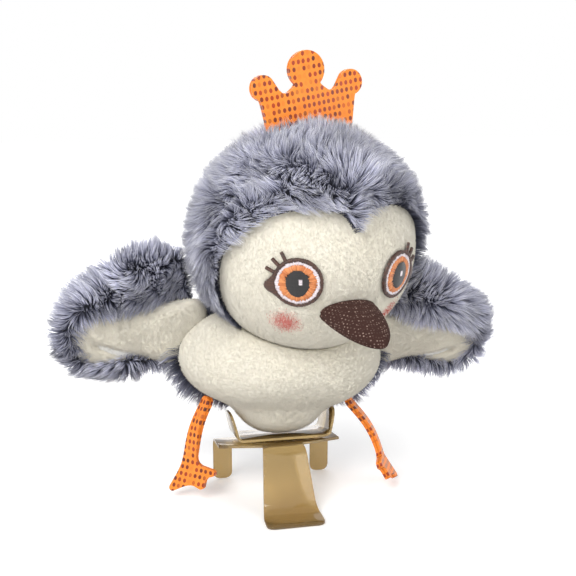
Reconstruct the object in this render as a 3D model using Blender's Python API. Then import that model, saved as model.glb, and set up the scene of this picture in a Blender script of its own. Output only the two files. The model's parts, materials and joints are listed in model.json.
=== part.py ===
"""Plush penguin with a foil-dot crown, sitting in a clear folded display stand.

Lengths are in metres and angles in degrees. The toy faces -Y and its left side is +X.
"""
import math

import bmesh
import bpy
from mathutils import Euler, Vector

# Fits between pieces
SEAM_GAP = 0.0003
BALL_GAP = 0.0009
FLEX_GAP = 0.0008
SEAT_GAP = 0.0007
HIP_GAP = 0.0016

# Cloth and pile
CLOTH = 0.0010
HOOD_PILE = 0.0055
BACK_PILE = 0.0060
WING_PILE = 0.0060
THREAD = 0.0006

# Clear stand
SHEET = 0.0012
SEAT_HEIGHT = 0.0255
SEAT_TILT = 10
SEAT_FRONT = 0.014
SEAT_REAR = 0.010
SEAT_WIDTH = 0.056
SEAT_NARROWS = 0.006
FOOT_WIDTH = 0.009
FOOT_CORNER = 0.003
SHEET_BEND = 0.004
TONGUE_BEND = 0.006
TONGUE_SLOPE = 62
TONGUE_TOP_WIDTH = 0.018
TONGUE_FOOT_WIDTH = 0.0255
TONGUE_FOOT_LENGTH = 0.009
TONGUE_FOOT_BEND = 0.008
PAD_THICKNESS = 0.0006
PAD_WIDTH = 0.030
PAD_DEPTH = 0.014
CRADLE_WIDTH = 0.043
CRADLE_DEPTH = 0.024
CRADLE_SIDE = 0.0018
CRADLE_BEND = 0.003
CRADLE_CORNER = 0.006
WALL_LENGTH = 0.0105
WALL_LEAN = 14

# Body
LEAN = 4
TORSO_WIDTH = 0.088
TORSO_DEPTH = 0.068
TORSO_HALF_HEIGHT = 0.031
TORSO_BACK = 0.002
TAPER = 0.22
TAPER_AT = -35
TAPER_SPREAD = 25
BELLY_EDGE = 88
BACK_PILE_FROM = -0.40
BACK_PILE_TO = -0.05
PILE_CLEAR = 50
POUCH_WIDTH = 0.022
POUCH_HEIGHT = 0.009

# Head
HEAD_RADIUS = 0.046
HEAD_TURN = 11
HEAD_SIDE = 0.0055
HEAD_FORWARD = 0.014
HEAD_RISE = 0.0595
FACE_SIDE_EDGE = 82
FACE_BROW_EDGE = 23
FACE_CHIN_EDGE = 100
PEAK_DROP = 10
PEAK_SPREAD = 0.16
HOOD_PILE_FROM = -0.30
HOOD_PILE_TO = 0.05

# Eyes
EYE_OUT = 30
EYE_DROP = 10
EYE_RADIUS = 0.0102
EYE_CORNER = 0.0040
LASH = 0.0038
LASH_ANGLES = (36, 48, 60)
EYE_WHITE_RADIUS = 0.0088
EYE_IRIS_RADIUS = 0.0070
EYE_PUPIL_RADIUS = 0.0048
EYE_GLINT_RADIUS = 0.0014

# Beak
BEAK_DROP = 29
BEAK_DIP = 12
BEAK_WIDTH = 0.025
BEAK_HEIGHT = 0.017
BEAK_LENGTH = 0.030
BEAK_FULLNESS = 1.7
BEAK_BLUNTNESS = 0.6

# Crown
CROWN_LAYER = 0.0008
CROWN_BASE = 0.0376
CROWN_HORN_OUT = 0.020
CROWN_HORN_UP = 0.0145
CROWN_HORN_BALL = 0.0054
CROWN_TOP_UP = 0.0208
CROWN_TOP_BALL = 0.0080
CROWN_VALLEY_OUT = 0.0115
CROWN_VALLEY_UP = 0.0105

# Wings
WING_EDGE = 0.0060
WING_SEAM = 0.0330
WING_SEAM_RISE = 0.0015
WING_LENGTH = 0.053
WING_HALF_CHORD = 0.0265
WING_WIDEST = 0.024
WING_RISE = 0.0060
WING_TIP_DROP = 0.0040
WING_ROUNDING = 2.6
WING_BULGE = 0.0050
WING_ROLL = 0.0075
LINING_LENGTH = 0.042
LINING_ROOT_TOP = 0.0110
LINING_TOP = 0.0080
LINING_BOTTOM_RISE = 0.0050
LINING_INSET = 0.0006
WING_SWEEP = 6
WING_TILT_RIGHT = 14
WING_TILT_LEFT = 30
WING_DROOP_RIGHT = 8
WING_DROOP_LEFT = 5
SHOULDER_OUT = 0.004
SHOULDER_BACK = 0.008
SHOULDER_UP = 0.014
SHOULDER_LOBE = 0.12
SHOULDER_SPREAD = 28

# Legs
LEG_LAYER = 0.0008
LEG_WIDTH = 0.0062
LEG_LENGTH = 0.030
LEG_SPLAY_RIGHT = 14
LEG_SPLAY_LEFT = 34
LEG_TURN_IN = 20
HIP_DOWN = 26
HIP_FORWARD = 8
TOE_FORWARD = 0.0135
TOE_RISE = 0.0010
TOE_DOWN = 0.0115
TOE_BACK = 0.0045
TOE_RADIUS = 0.0016

for thing in list(bpy.data.objects):
    bpy.data.objects.remove(thing)


def material(name, colour, roughness, metallic=0.0):
    made = bpy.data.materials.new(name)
    made.use_nodes = True
    shader = made.node_tree.nodes["Principled BSDF"]
    shader.inputs["Base Color"].default_value = (*colour, 1)
    shader.inputs["Roughness"].default_value = roughness
    shader.inputs["Metallic"].default_value = metallic
    return made


GREY_FUR = material("grey_fur", (0.33, 0.33, 0.37), 0.9)
CREAM_PILE = material("cream_pile", (0.80, 0.76, 0.63), 0.9)
FIBRE = material("fibre", (0.90, 0.90, 0.88), 1.0)
PELLET_CLOTH = material("pellet_cloth", (0.70, 0.70, 0.68), 0.9)
FOIL_CLOTH = material("foil_cloth", (0.95, 0.27, 0.02), 0.4)
FELT = material("felt", (0.80, 0.22, 0.03), 1.0)
BEAK_CLOTH = material("beak_cloth", (0.05, 0.025, 0.02), 0.8)
BROWN_THREAD = material("brown_thread", (0.06, 0.02, 0.01), 0.5)
WHITE_THREAD = material("white_thread", (0.85, 0.80, 0.80), 0.5)
ORANGE_THREAD = material("orange_thread", (0.85, 0.32, 0.08), 0.5)
BLACK_THREAD = material("black_thread", (0.01, 0.008, 0.008), 0.4)
CLEAR_SHEET = material("clear_sheet", (0.85, 0.88, 0.88), 0.05)
CLEAR_GLUE = material("clear_glue", (0.85, 0.86, 0.84), 0.2)


def empty(name, parent=None, place=(0, 0, 0), turn=(0, 0, 0)):
    made = bpy.data.objects.new(name, None)
    bpy.context.scene.collection.objects.link(made)
    made.parent = parent
    made.location = place
    made.rotation_euler = [math.radians(angle) for angle in turn]
    return made


def add_object(name, bm, parent, finish):
    bmesh.ops.recalc_face_normals(bm, faces=bm.faces)
    mesh = bpy.data.meshes.new(name)
    bm.to_mesh(mesh)
    bm.free()
    for face in mesh.polygons:
        face.use_smooth = True
    mesh.materials.append(finish)
    made = bpy.data.objects.new(name, mesh)
    bpy.context.scene.collection.objects.link(made)
    made.parent = parent
    return made


def loft(name, finish, parent, loops, closed=False, folded=False):
    """Skin loops of points in order; a loop of one point is a pole, and any other end gets a cap.

    A folded loop runs out along one edge and back along another, and its cap is a strip between them.

    Quads are split along the same diagonal seen from either end, so layers that nest stay clear.
    """
    bm = bmesh.new()
    rows = [[bm.verts.new(point) for point in loop] for loop in loops]
    pairs = list(zip(rows, rows[1:]))
    if closed:
        pairs.append((rows[-1], rows[0]))
    for index, (one, two) in enumerate(pairs):
        count = max(len(one), len(two))
        for k in range(count):
            after = (k + 1) % count
            if len(one) == 1:
                bm.faces.new((one[0], two[k], two[after]))
            elif len(two) == 1:
                bm.faces.new((one[k], one[after], two[0]))
            elif index < len(pairs) / 2:
                bm.faces.new((one[k], one[after], two[after]))
                bm.faces.new((one[k], two[after], two[k]))
            else:
                bm.faces.new((one[k], one[after], two[k]))
                bm.faces.new((one[after], two[after], two[k]))
    caps = [] if closed else [row for row in (rows[0], rows[-1]) if len(row) > 1]
    if folded:
        for row in caps:
            for k in range(len(row) // 2 - 1):
                bm.faces.new((row[k], row[k + 1], row[-2 - k], row[-1 - k]))
    else:
        faces = [bm.faces.new(row) for row in caps]
        bmesh.ops.triangulate(bm, faces=faces, ngon_method="EAR_CLIP")
    return add_object(name, bm, parent, finish)


def layer(name, finish, parent, outline, place, low, high, rings):
    """Solid between two heights over a flat outline that is spread from its own middle."""
    def loop(share, height):
        if share == 0:
            return [place(0, 0, height(0, 0, 0))]
        return [place(share * x, share * y, height(share * x, share * y, share)) for x, y in outline]

    shares = [i / rings for i in range(rings + 1)]
    loops = [loop(share, low) for share in shares]
    loops += [loop(share, high) for share in reversed(shares)]
    return loft(name, finish, parent, loops)


def plate(name, finish, parent, outline, place, low, high):
    """Flat cut-out of any outline."""
    return loft(name, finish, parent, [[place(x, y, h) for x, y in outline] for h in (low, high)])


def band(name, finish, parent, inner, outer, place, low, high):
    """Ring-shaped solid between two outlines with the same number of points."""
    edges = ((inner, low), (outer, low), (outer, high), (inner, high))
    loops = [[place(x, y, h) for x, y in outline] for outline, h in edges]
    return loft(name, finish, parent, loops, closed=True)


def lump(name, finish, parent, reach, segments, rings):
    """Closed solid given by its reach from its own middle in every direction."""
    bm = bmesh.new()
    bmesh.ops.create_uvsphere(bm, u_segments=segments, v_segments=rings, radius=1)
    for vert in bm.verts:
        way = vert.co.normalized()
        vert.co = way * reach(way)
    return add_object(name, bm, parent, finish)


def fold(name, parent, rows):
    """Clear sheet of even thickness over pairs of neighbouring rows of points."""
    bm = bmesh.new()
    made = {}

    def vert(point):
        key = tuple(round(value, 7) for value in point)
        if key not in made:
            made[key] = bm.verts.new(point)
        return made[key]

    for one, two in rows:
        for k in range(len(one) - 1):
            bm.faces.new([vert(point) for point in (one[k], one[k + 1], two[k + 1], two[k])])
    sheet = add_object(name, bm, parent, CLEAR_SHEET)
    thicken = sheet.modifiers.new("sheet", "SOLIDIFY")
    thicken.thickness = SHEET
    thicken.offset = 0
    thicken.use_even_offset = True
    return sheet


def flat(value):
    return lambda x, y, share: value


def round_outline(count, reach):
    angles = [math.tau * k / count for k in range(count)]
    return [(reach(a) * math.cos(a), reach(a) * math.sin(a)) for a in angles]


def arc(x, y, radius, start, end, steps):
    angles = [math.radians(start + (end - start) * k / steps) for k in range(steps + 1)]
    return [(x + radius * math.cos(a), y + radius * math.sin(a)) for a in angles]


def aim(x, y, front=-1):
    """Direction at the angle hypot(x, y) from the front, or from the back where front is 1."""
    off = math.hypot(x, y)
    spread = math.sin(off) / off if off else 1
    return Vector((x * spread, front * math.cos(off), y * spread))


def ease(value):
    value = min(1, max(0, value))
    return value * value * (3 - 2 * value)


toy_frame = empty("toy_frame")

# Stand base: tilted seat, tongue folded forward and down, two feet folded down at the rear
seat_slope = math.radians(SEAT_TILT)
tongue_slope = math.radians(TONGUE_SLOPE)
base_under = SHEET + SEAM_GAP + PAD_THICKNESS + SEAM_GAP + SHEET / 2


def on_seat(along, up):
    """Forward distance and height of a point on the tilted seat."""
    forward = along * math.cos(seat_slope) - up * math.sin(seat_slope)
    return Vector((forward, SEAT_HEIGHT + along * math.sin(seat_slope) + up * math.cos(seat_slope)))


def heading(angle):
    return Vector((math.cos(angle), math.sin(angle)))


def bend(start, before, after, radius):
    """Points of a fold that turns from one heading to another."""
    steps = max(2, round(abs(after - before) / 0.3))
    turn = (after - before) / steps
    points = [start]
    for k in range(steps):
        chord = 2 * radius * math.sin(abs(turn) / 2)
        points.append(points[-1] + heading(before + turn * (k + 0.5)) * chord)
    return points


def rounded(half, length, radius):
    """Half width and distance of the rows of a strip whose end has rounded corners."""
    rows = [(half, 0.0)]
    for k in range(4):
        angle = math.pi / 2 * k / 3
        rows.append((half - radius * (1 - math.cos(angle)), length - radius * (1 - math.sin(angle))))
    return rows


tongue = bend(on_seat(SEAT_FRONT, -base_under), seat_slope, -tongue_slope, TONGUE_BEND)
drop = tongue[-1].y - SHEET / 2 - TONGUE_FOOT_BEND * (1 - math.cos(tongue_slope))
slope_end = tongue[-1] + heading(-tongue_slope) * (drop / math.sin(tongue_slope))
tongue += bend(slope_end, -tongue_slope, 0.0, TONGUE_FOOT_BEND)
foot_start = tongue[-1]
halves = []
for point in tongue:
    share = (point.x - tongue[0].x) / (foot_start.x - tongue[0].x)
    halves.append((TONGUE_TOP_WIDTH + (TONGUE_FOOT_WIDTH - TONGUE_TOP_WIDTH) * share) / 2)
for half, reach in rounded(TONGUE_FOOT_WIDTH / 2, TONGUE_FOOT_LENGTH, FOOT_CORNER)[1:]:
    tongue.append(foot_start + Vector((reach, 0)))
    halves.append(half)
spine = [on_seat(-SEAT_REAR, -base_under), on_seat(SEAT_FRONT - SEAT_NARROWS, -base_under)] + tongue
halves = [SEAT_WIDTH / 2, SEAT_WIDTH / 2] + halves
inside = 1 - 2 * FOOT_WIDTH / SEAT_WIDTH
across = [[Vector((half * k, -p.x, p.y)) for k in (-1, -inside, inside, 1)] for p, half in zip(spine, halves)]
base_rows = list(zip(across, across[1:]))
foot_path = bend(spine[0], math.pi + seat_slope, math.pi * 1.5, SHEET_BEND)
foot_middle = (SEAT_WIDTH - FOOT_WIDTH) / 2
for side in (-1, 1):
    steps = [(FOOT_WIDTH / 2, point) for point in foot_path]
    for half, reach in rounded(FOOT_WIDTH / 2, foot_path[-1].y, FOOT_CORNER)[1:]:
        steps.append((half, foot_path[-1] - Vector((0, reach))))
    rows = [[Vector((side * foot_middle + k * half, -p.x, p.y)) for k in (-1, 1)] for half, p in steps]
    base_rows += list(zip(rows, rows[1:]))
fold("stand_base", toy_frame, base_rows)

# Cradle: a clear channel glued on the seat, its walls leaning outward
seat_frame = empty("seat_frame", toy_frame, (CRADLE_SIDE, 0, SEAT_HEIGHT), (-SEAT_TILT, 0, 0))
lean_angle = math.radians(90 - WALL_LEAN)
fold_at = Vector((CRADLE_WIDTH / 2 - CRADLE_BEND, -SHEET / 2))
wall = bend(fold_at, 0.0, lean_angle, CRADLE_BEND)
profile = [(CRADLE_DEPTH / 2, point) for point in wall]
for half, reach in rounded(CRADLE_DEPTH / 2, WALL_LENGTH, CRADLE_CORNER)[1:]:
    profile.append((half, wall[-1] + heading(lean_angle) * reach))
profile = [(half, Vector((-p.x, p.y))) for half, p in reversed(profile)] + profile
rows = [[Vector((p.x, k * half, p.y)) for k in (-1, 1)] for half, p in profile]
fold("stand_cradle", seat_frame, list(zip(rows, rows[1:])))

pad_top = -SHEET - SEAM_GAP
pad_outline = [(sx * PAD_WIDTH / 2, sy * PAD_DEPTH / 2) for sx, sy in ((1, 1), (-1, 1), (-1, -1), (1, -1))]
plate("glue_pad", CLEAR_GLUE, seat_frame, pad_outline, lambda x, y, h: Vector((x, y, h)),
      pad_top - PAD_THICKNESS, pad_top)

# Body: an egg with shoulders, a dish that the head sits in and a groove for each wing's seam
plush = empty("plush", toy_frame, (0, 0, SEAT_HEIGHT), (0, LEAN, 0))
lean = math.radians(LEAN)
seat_normal = Vector((-math.sin(lean) * math.cos(seat_slope), math.sin(seat_slope), math.cos(seat_slope)))
torso_axes = Vector((TORSO_WIDTH / 2, TORSO_DEPTH / 2, TORSO_HALF_HEIGHT))
torso_reach = Vector([axis * part for axis, part in zip(torso_axes, seat_normal)]).length
torso_rise = (torso_reach + SEAT_GAP - TORSO_BACK * seat_normal.y) / seat_normal.z
torso = empty("torso", plush, (0, TORSO_BACK, torso_rise))
head_place = Vector((HEAD_SIDE, -HEAD_FORWARD, HEAD_RISE))
shoulder = Vector((TORSO_WIDTH / 2 + SHOULDER_OUT, SHOULDER_BACK, SHOULDER_UP))
hollows = [(head_place, Vector(), HEAD_RADIUS + BALL_GAP)]
wing_turns = {-1: (WING_TILT_RIGHT, -WING_DROOP_RIGHT, WING_SWEEP), 1: (WING_TILT_LEFT, WING_DROOP_LEFT, -WING_SWEEP)}
for side in (-1, 1):
    seam = Euler([math.radians(angle) for angle in wing_turns[side]]).to_matrix().col[2]
    hollows.append((Vector((side * shoulder.x, shoulder.y, shoulder.z)), seam, WING_EDGE + BALL_GAP))


def egg(way):
    full = 1 / Vector([part / axis for part, axis in zip(way, torso_axes)]).length
    rise = math.degrees(math.asin(max(-1, min(1, way.z))))
    aside = math.degrees(Vector((abs(way.x), way.y, way.z)).angle(shoulder))
    lobe = SHOULDER_LOBE * math.exp(-(aside / SHOULDER_SPREAD) ** 2)
    return full * (1 + lobe - TAPER * math.exp(-((rise - TAPER_AT) / TAPER_SPREAD) ** 2))


def hollow(way):
    """Distance to the dish or a groove, or a far distance; a groove runs out below its seam."""
    nearest = 1.0
    for middle, axis, radius in hollows:
        across = way - axis * way.dot(axis)
        aside = middle - axis * middle.dot(axis)
        along = across.dot(aside)
        under = along ** 2 - across.length_squared * (aside.length_squared - radius ** 2)
        if along > 0 and under > 0:
            reach = (along - math.sqrt(under)) / across.length_squared
            height = (way * reach - middle).dot(axis) + WING_SEAM / 2 - WING_SEAM_RISE
            nearest = min(nearest, reach + 2 * WING_EDGE * ease(-height / WING_EDGE))
    return nearest


def body_skin(way, height):
    return min(egg(way), hollow(way)) + height


def on_body(front):
    def place(x, y, height):
        way = aim(x, y, front)
        return way * body_skin(way, height)
    return place


def back_pile(x, y, share):
    """Height of the pile, which thins toward the seam, the seat, the head and the wings."""
    way = aim(x, y, 1)
    pile = BACK_PILE * ease((way.z - BACK_PILE_FROM) / (BACK_PILE_TO - BACK_PILE_FROM)) * (1 - share ** 6)
    for middle, axis, radius in hollows:
        aside = middle - axis * middle.dot(axis)
        clear = (way - axis * way.dot(axis)).angle(aside) - math.asin(radius / aside.length)
        pile *= ease(clear / math.radians(PILE_CLEAR))
    return pile


belly_edge = math.radians(BELLY_EDGE)
back_edge = math.pi - belly_edge - SEAM_GAP / TORSO_HALF_HEIGHT * 1.5
belly_outline = round_outline(48, lambda a: belly_edge)
back_outline = round_outline(48, lambda a: back_edge)
BODY_RINGS = 14
layer("belly_panel", CREAM_PILE, torso, belly_outline, on_body(-1), flat(-CLOTH), flat(0.0), BODY_RINGS)
layer("back_panel", GREY_FUR, torso, back_outline, on_body(1), flat(-CLOTH), back_pile, BODY_RINGS)
pouch_top = TORSO_HALF_HEIGHT - CLOTH - SEAM_GAP * 2 - POUCH_HEIGHT


def stuffing_loops(front, outline, rings):
    loops = []
    for k in range(rings + 1):
        share = k / rings
        ways = [aim(share * x, share * y, front) for x, y in (outline if k else outline[:1])]
        flat_under = [(pouch_top - SEAM_GAP) / max(1e-6, -way.z) for way in ways]
        loops.append([way * min(body_skin(way, -CLOTH - SEAM_GAP), under) for way, under in zip(ways, flat_under)])
    return loops


front_loops = stuffing_loops(-1, belly_outline, BODY_RINGS)
loft("body_stuffing", FIBRE, torso, front_loops + list(reversed(stuffing_loops(1, back_outline, BODY_RINGS))))
pouch = empty("pouch", torso, (0, 0, -pouch_top - POUCH_HEIGHT / 2))
lump("pellet_pouch", PELLET_CLOTH, pouch,
     lambda way: 1 / Vector((way.x * 2 / POUCH_WIDTH, way.y * 2 / POUCH_WIDTH, way.z * 2 / POUCH_HEIGHT)).length,
     20, 10)

# Head: a stuffed ball in a cream face panel and a grey fur hood with a widow's peak
head = empty("head", torso, head_place, (0, 0, HEAD_TURN))
upright = math.radians(-LEAN)
head.rotation_euler[1] = upright


def face_edge(angle):
    """Angle from the front to the seam; the angle runs from the toy's left, upward."""
    up = math.sin(angle)
    if up < 0:
        return math.radians(FACE_SIDE_EDGE - up * (FACE_CHIN_EDGE - FACE_SIDE_EDGE))
    peak = PEAK_DROP * math.exp(-(math.cos(angle) / PEAK_SPREAD) ** 2)
    return math.radians(FACE_SIDE_EDGE + up * (FACE_BROW_EDGE - FACE_SIDE_EDGE) - peak)


def on_head(front):
    return lambda x, y, height: aim(x, y, front) * (HEAD_RADIUS + height)


def hood_pile(x, y, share):
    rise = (aim(x, y, 1).z - HOOD_PILE_FROM) / (HOOD_PILE_TO - HOOD_PILE_FROM)
    return HOOD_PILE * ease(rise) * (1 - share ** 8)


lump("head_stuffing", FIBRE, head, lambda way: HEAD_RADIUS - CLOTH - BALL_GAP, 32, 20)
layer("face_panel", CREAM_PILE, head, round_outline(48, face_edge), on_head(-1), flat(-CLOTH), flat(0.0), 9)
hood_edge = round_outline(48, lambda a: math.pi - face_edge(a) - 2 * SEAM_GAP / HEAD_RADIUS)
layer("hood_fur", GREY_FUR, head, hood_edge, on_head(1), flat(-CLOTH), hood_pile, 11)

# Eyes: blocks of embroidery thread on the face panel
for name, side in (("right", -1), ("left", 1)):
    out = math.radians(EYE_OUT)
    down = math.radians(EYE_DROP)
    gaze = Vector((side * math.sin(out) * math.cos(down), -math.cos(out) * math.cos(down), -math.sin(down)))
    outward = Vector((side * math.cos(out), math.sin(out), 0))
    upward = (Vector((0, 0, 1)) - gaze * gaze.z).normalized()

    def on_face(x, y, height):
        way = gaze + (outward * x + upward * y) / HEAD_RADIUS
        return way.normalized() * (HEAD_RADIUS + SEAM_GAP + height)

    def lashed(angle):
        degrees = round(math.degrees(angle))
        if degrees in LASH_ANGLES:
            return EYE_RADIUS + LASH
        aside = (degrees + 180) % 360 - 180 + 8
        return EYE_RADIUS + EYE_CORNER * math.exp(-(aside / 16) ** 2)

    rings = [("eye_outline", BROWN_THREAD, EYE_WHITE_RADIUS, lashed, 60)]
    rings.append(("eye_white", WHITE_THREAD, EYE_IRIS_RADIUS, lambda a: EYE_WHITE_RADIUS, 36))
    rings.append(("eye_iris", ORANGE_THREAD, EYE_PUPIL_RADIUS, lambda a: EYE_IRIS_RADIUS, 36))
    for piece, thread, hole, reach, count in rings:
        inner = round_outline(count, lambda a: hole + SEAM_GAP / 2)
        outer = round_outline(count, lambda a: reach(a) - SEAM_GAP / 2)
        band(f"{piece}_{name}", thread, head, inner, outer, on_face, 0.0, THREAD)
    pupil = round_outline(24, lambda a: EYE_PUPIL_RADIUS - SEAM_GAP / 2)
    layer(f"eye_pupil_{name}", BLACK_THREAD, head, pupil, on_face, flat(0.0), flat(THREAD), 1)
    glint = round_outline(10, lambda a: EYE_GLINT_RADIUS)
    glint_low = THREAD + SEAM_GAP
    layer(f"eye_glint_{name}", WHITE_THREAD, head, glint, on_face, flat(glint_low), flat(glint_low + THREAD), 1)

# Beak: two cloth halves round a stuffed core
drop_angle = math.radians(BEAK_DROP)
dip = math.radians(BEAK_DIP)
beak_root = Vector((0, -math.cos(drop_angle), -math.sin(drop_angle)))
beak_way = Vector((0, -math.cos(dip), -math.sin(dip)))
beak_up = Vector((0, -math.sin(dip), math.cos(dip)))
BEAK_STATIONS = (1.0, 0.85, 0.68, 0.5, 0.34, 0.2, 0.1, 0.04)


def beak_point(station, angle, inset, lift=0.0):
    """Point on the beak's skin or inside it; the station is 1 at the face and 0 at the tip."""
    spread = (1 - (1 - station) ** BEAK_FULLNESS) ** BEAK_BLUNTNESS
    across = max(0.0, BEAK_WIDTH / 2 * spread - inset) * math.cos(angle)
    up = max(0.0, BEAK_HEIGHT / 2 * spread - inset) * math.sin(angle) + lift
    root = (beak_root + (Vector((across, 0, 0)) + beak_up * up) / HEAD_RADIUS).normalized()
    return root * (HEAD_RADIUS + SEAM_GAP) + beak_way * BEAK_LENGTH * (1 - station)


for name, side in (("upper", 1), ("lower", -1)):
    lift = side * SEAM_GAP / 2
    turns = [side * math.pi * k / 10 for k in range(11)]
    loops = []
    for station in BEAK_STATIONS:
        outside = [beak_point(station, turn, 0.0, lift) for turn in turns]
        loops.append(outside + [beak_point(station, turn, CLOTH, lift) for turn in reversed(turns)])
    loops.append([beak_point(0, 0, 0, lift)])
    loft(f"beak_{name}", BEAK_CLOTH, head, loops, folded=True)
core_turns = [math.pi * k / 10 for k in range(20)]
core = [[beak_point(1, 0, BEAK_WIDTH)], [beak_point(1, turn, BEAK_HEIGHT / 4) for turn in core_turns]]
core += [[beak_point(s, turn, CLOTH + SEAM_GAP) for turn in core_turns] for s in BEAK_STATIONS[:-3]]
loft("beak_stuffing", FIBRE, head, core)

# Crown: foil cloth on both faces of a felt cut-out, standing on the hood
crown_foot = HEAD_RADIUS + HOOD_PILE
crown = empty("crown", head, (0, 0, crown_foot + FLEX_GAP))
half_base = CROWN_BASE / 2
right_edge = arc(CROWN_HORN_OUT, CROWN_HORN_UP, CROWN_HORN_BALL, -75, 140, 8)
right_edge.append((CROWN_VALLEY_OUT, CROWN_VALLEY_UP))
right_edge += arc(0, CROWN_TOP_UP, CROWN_TOP_BALL, -48, 75, 5)
crown_outline = []
for k in range(9):
    x = half_base * (k / 4 - 1)
    crown_outline.append((x, math.sqrt(crown_foot ** 2 - x ** 2) - crown_foot))
crown_outline += right_edge + [(0, CROWN_TOP_UP + CROWN_TOP_BALL)] + [(-x, y) for x, y in reversed(right_edge)]


def on_crown(x, y, height):
    return Vector((x, height, y))


crown_out = CROWN_LAYER * 1.5 + SEAM_GAP
plate("crown_front", FOIL_CLOTH, crown, crown_outline, on_crown, -crown_out, CROWN_LAYER - crown_out)
plate("crown_core", FELT, crown, crown_outline, on_crown, -CROWN_LAYER / 2, CROWN_LAYER / 2)
plate("crown_back", FOIL_CLOTH, crown, crown_outline, on_crown, crown_out - CROWN_LAYER, crown_out)

# Wings: a cream lining and padding that nest in a bowl of fur, which rolls over the lining's edge
WING_STEPS = 36
WING_RINGS = 5
LINING_EDGE = WING_EDGE - LINING_INSET


def wing_flare(s):
    return math.sin(math.pi / 2 * min(1, max(0, s / WING_WIDEST)))


def rounding(s, edge, length):
    """Share of the chord left at a distance from the seam, as the root and the tip round off."""
    root = max(0.0, 1 - max(0.0, -s / edge) ** 3) ** (1 / 3)
    tip = min(1.0, max(0.0, s - WING_WIDEST) / (length - WING_WIDEST))
    return root * math.sqrt(1 - tip ** WING_ROUNDING)


def wing_chord(s):
    """Middle and half of the chord of the whole wing."""
    beyond = max(0.0, s - WING_WIDEST) / (WING_LENGTH - WING_WIDEST)
    middle = WING_SEAM_RISE + WING_RISE * wing_flare(s) - WING_TIP_DROP * beyond ** 2
    half = WING_SEAM / 2 + (WING_HALF_CHORD - WING_SEAM / 2) * wing_flare(s)
    return middle, half * rounding(s, WING_EDGE, WING_LENGTH)


def lining_chord(s):
    """Middle and half of the chord of the lining, a band along the lower part of the wing."""
    middle, half = wing_chord(0)
    low = middle - half + LINING_INSET + (LINING_BOTTOM_RISE - LINING_INSET) * wing_flare(s)
    high = LINING_ROOT_TOP + (LINING_TOP - LINING_ROOT_TOP) * wing_flare(s)
    return (high + low) / 2, (high - low) / 2 * rounding(s, LINING_EDGE, LINING_LENGTH)


def chord_outline(chord, edge, length):
    """Outline about its own middle, and that middle, at equal steps round the wing."""
    centre = Vector(((length - edge) / 2, chord((length - edge) / 2)[0]))
    points = []
    for k in range(WING_STEPS):
        angle = math.tau * k / WING_STEPS
        s = centre.x + (length + edge) / 2 * math.cos(angle)
        middle, half = chord(s)
        points.append(Vector((s, middle + math.copysign(half, math.sin(angle)))) - centre)
    return points, centre


wing_outline, wing_centre = chord_outline(wing_chord, WING_EDGE, WING_LENGTH)
lining_outline, lining_centre = chord_outline(lining_chord, LINING_EDGE, LINING_LENGTH)


def wing_pile(s, share):
    """Height of the pile on the outside, which thins toward the seam and the edge."""
    return WING_PILE * (1 - share ** 6) * ease((s + WING_EDGE) / WING_WIDEST)


def dome(share, height):
    return CLOTH / 2 + height * math.sqrt(max(0.0, 1 - share ** 2))


for name, side in (("right", -1), ("left", 1)):
    pivot = empty(f"wing_{name}", torso, (side * shoulder.x, shoulder.y, shoulder.z), wing_turns[side])

    def on_wing(s, chord, height):
        return Vector((side * s, height, chord))

    def on_lining(x, y, height):
        return on_wing(x + lining_centre.x, y + lining_centre.y, height)

    layer(f"wing_padding_{name}", FIBRE, pivot, lining_outline, on_lining,
          lambda x, y, share: -dome(share, WING_BULGE), lambda x, y, share: dome(share, WING_BULGE), WING_RINGS)
    layer(f"wing_lining_{name}", CREAM_PILE, pivot, lining_outline, on_lining,
          lambda x, y, share: -dome(share, WING_BULGE) - SEAM_GAP - CLOTH,
          lambda x, y, share: -dome(share, WING_BULGE) - SEAM_GAP, WING_RINGS)
    loops = [[on_lining(0, 0, dome(0, WING_BULGE) + SEAM_GAP)]]
    for share in [(k + 1) / WING_RINGS for k in range(WING_RINGS)]:
        height = dome(share, WING_BULGE) + SEAM_GAP
        loops.append([on_lining(p.x * share, p.y * share, height) for p in lining_outline])
    rim = []
    for k, (inner, outer) in enumerate(zip(lining_outline, wing_outline)):
        along = lining_outline[(k + 1) % WING_STEPS] - lining_outline[k - 1]
        start = inner + Vector((along.y, -along.x)).normalized() * SEAM_GAP + lining_centre
        across = outer + wing_centre - start
        roll = WING_ROLL * min(1.0, across.length / WING_ROLL) * ease((start.x + WING_EDGE) / WING_WIDEST)
        rim.append((start, across, roll))
    for part, front in ((0.0, 0.3), (0.25, 0.8), (0.6, 1.0), (0.9, 0.6), (1.0, 0.0)):
        loops.append([on_wing(*(start + across * part), -roll * front + SEAM_GAP) for start, across, roll in rim])
    for share in (0.97, 0.85, 0.65, 0.4, 0.2, 0.0):
        skin = dome(share, WING_BULGE) + SEAM_GAP + CLOTH
        spots = [p * share + wing_centre for p in (wing_outline if share else wing_outline[:1])]
        loops.append([on_wing(*spot, skin + wing_pile(spot.x, share)) for spot in spots])
    loft(f"wing_fur_{name}", GREY_FUR, pivot, loops)

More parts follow.
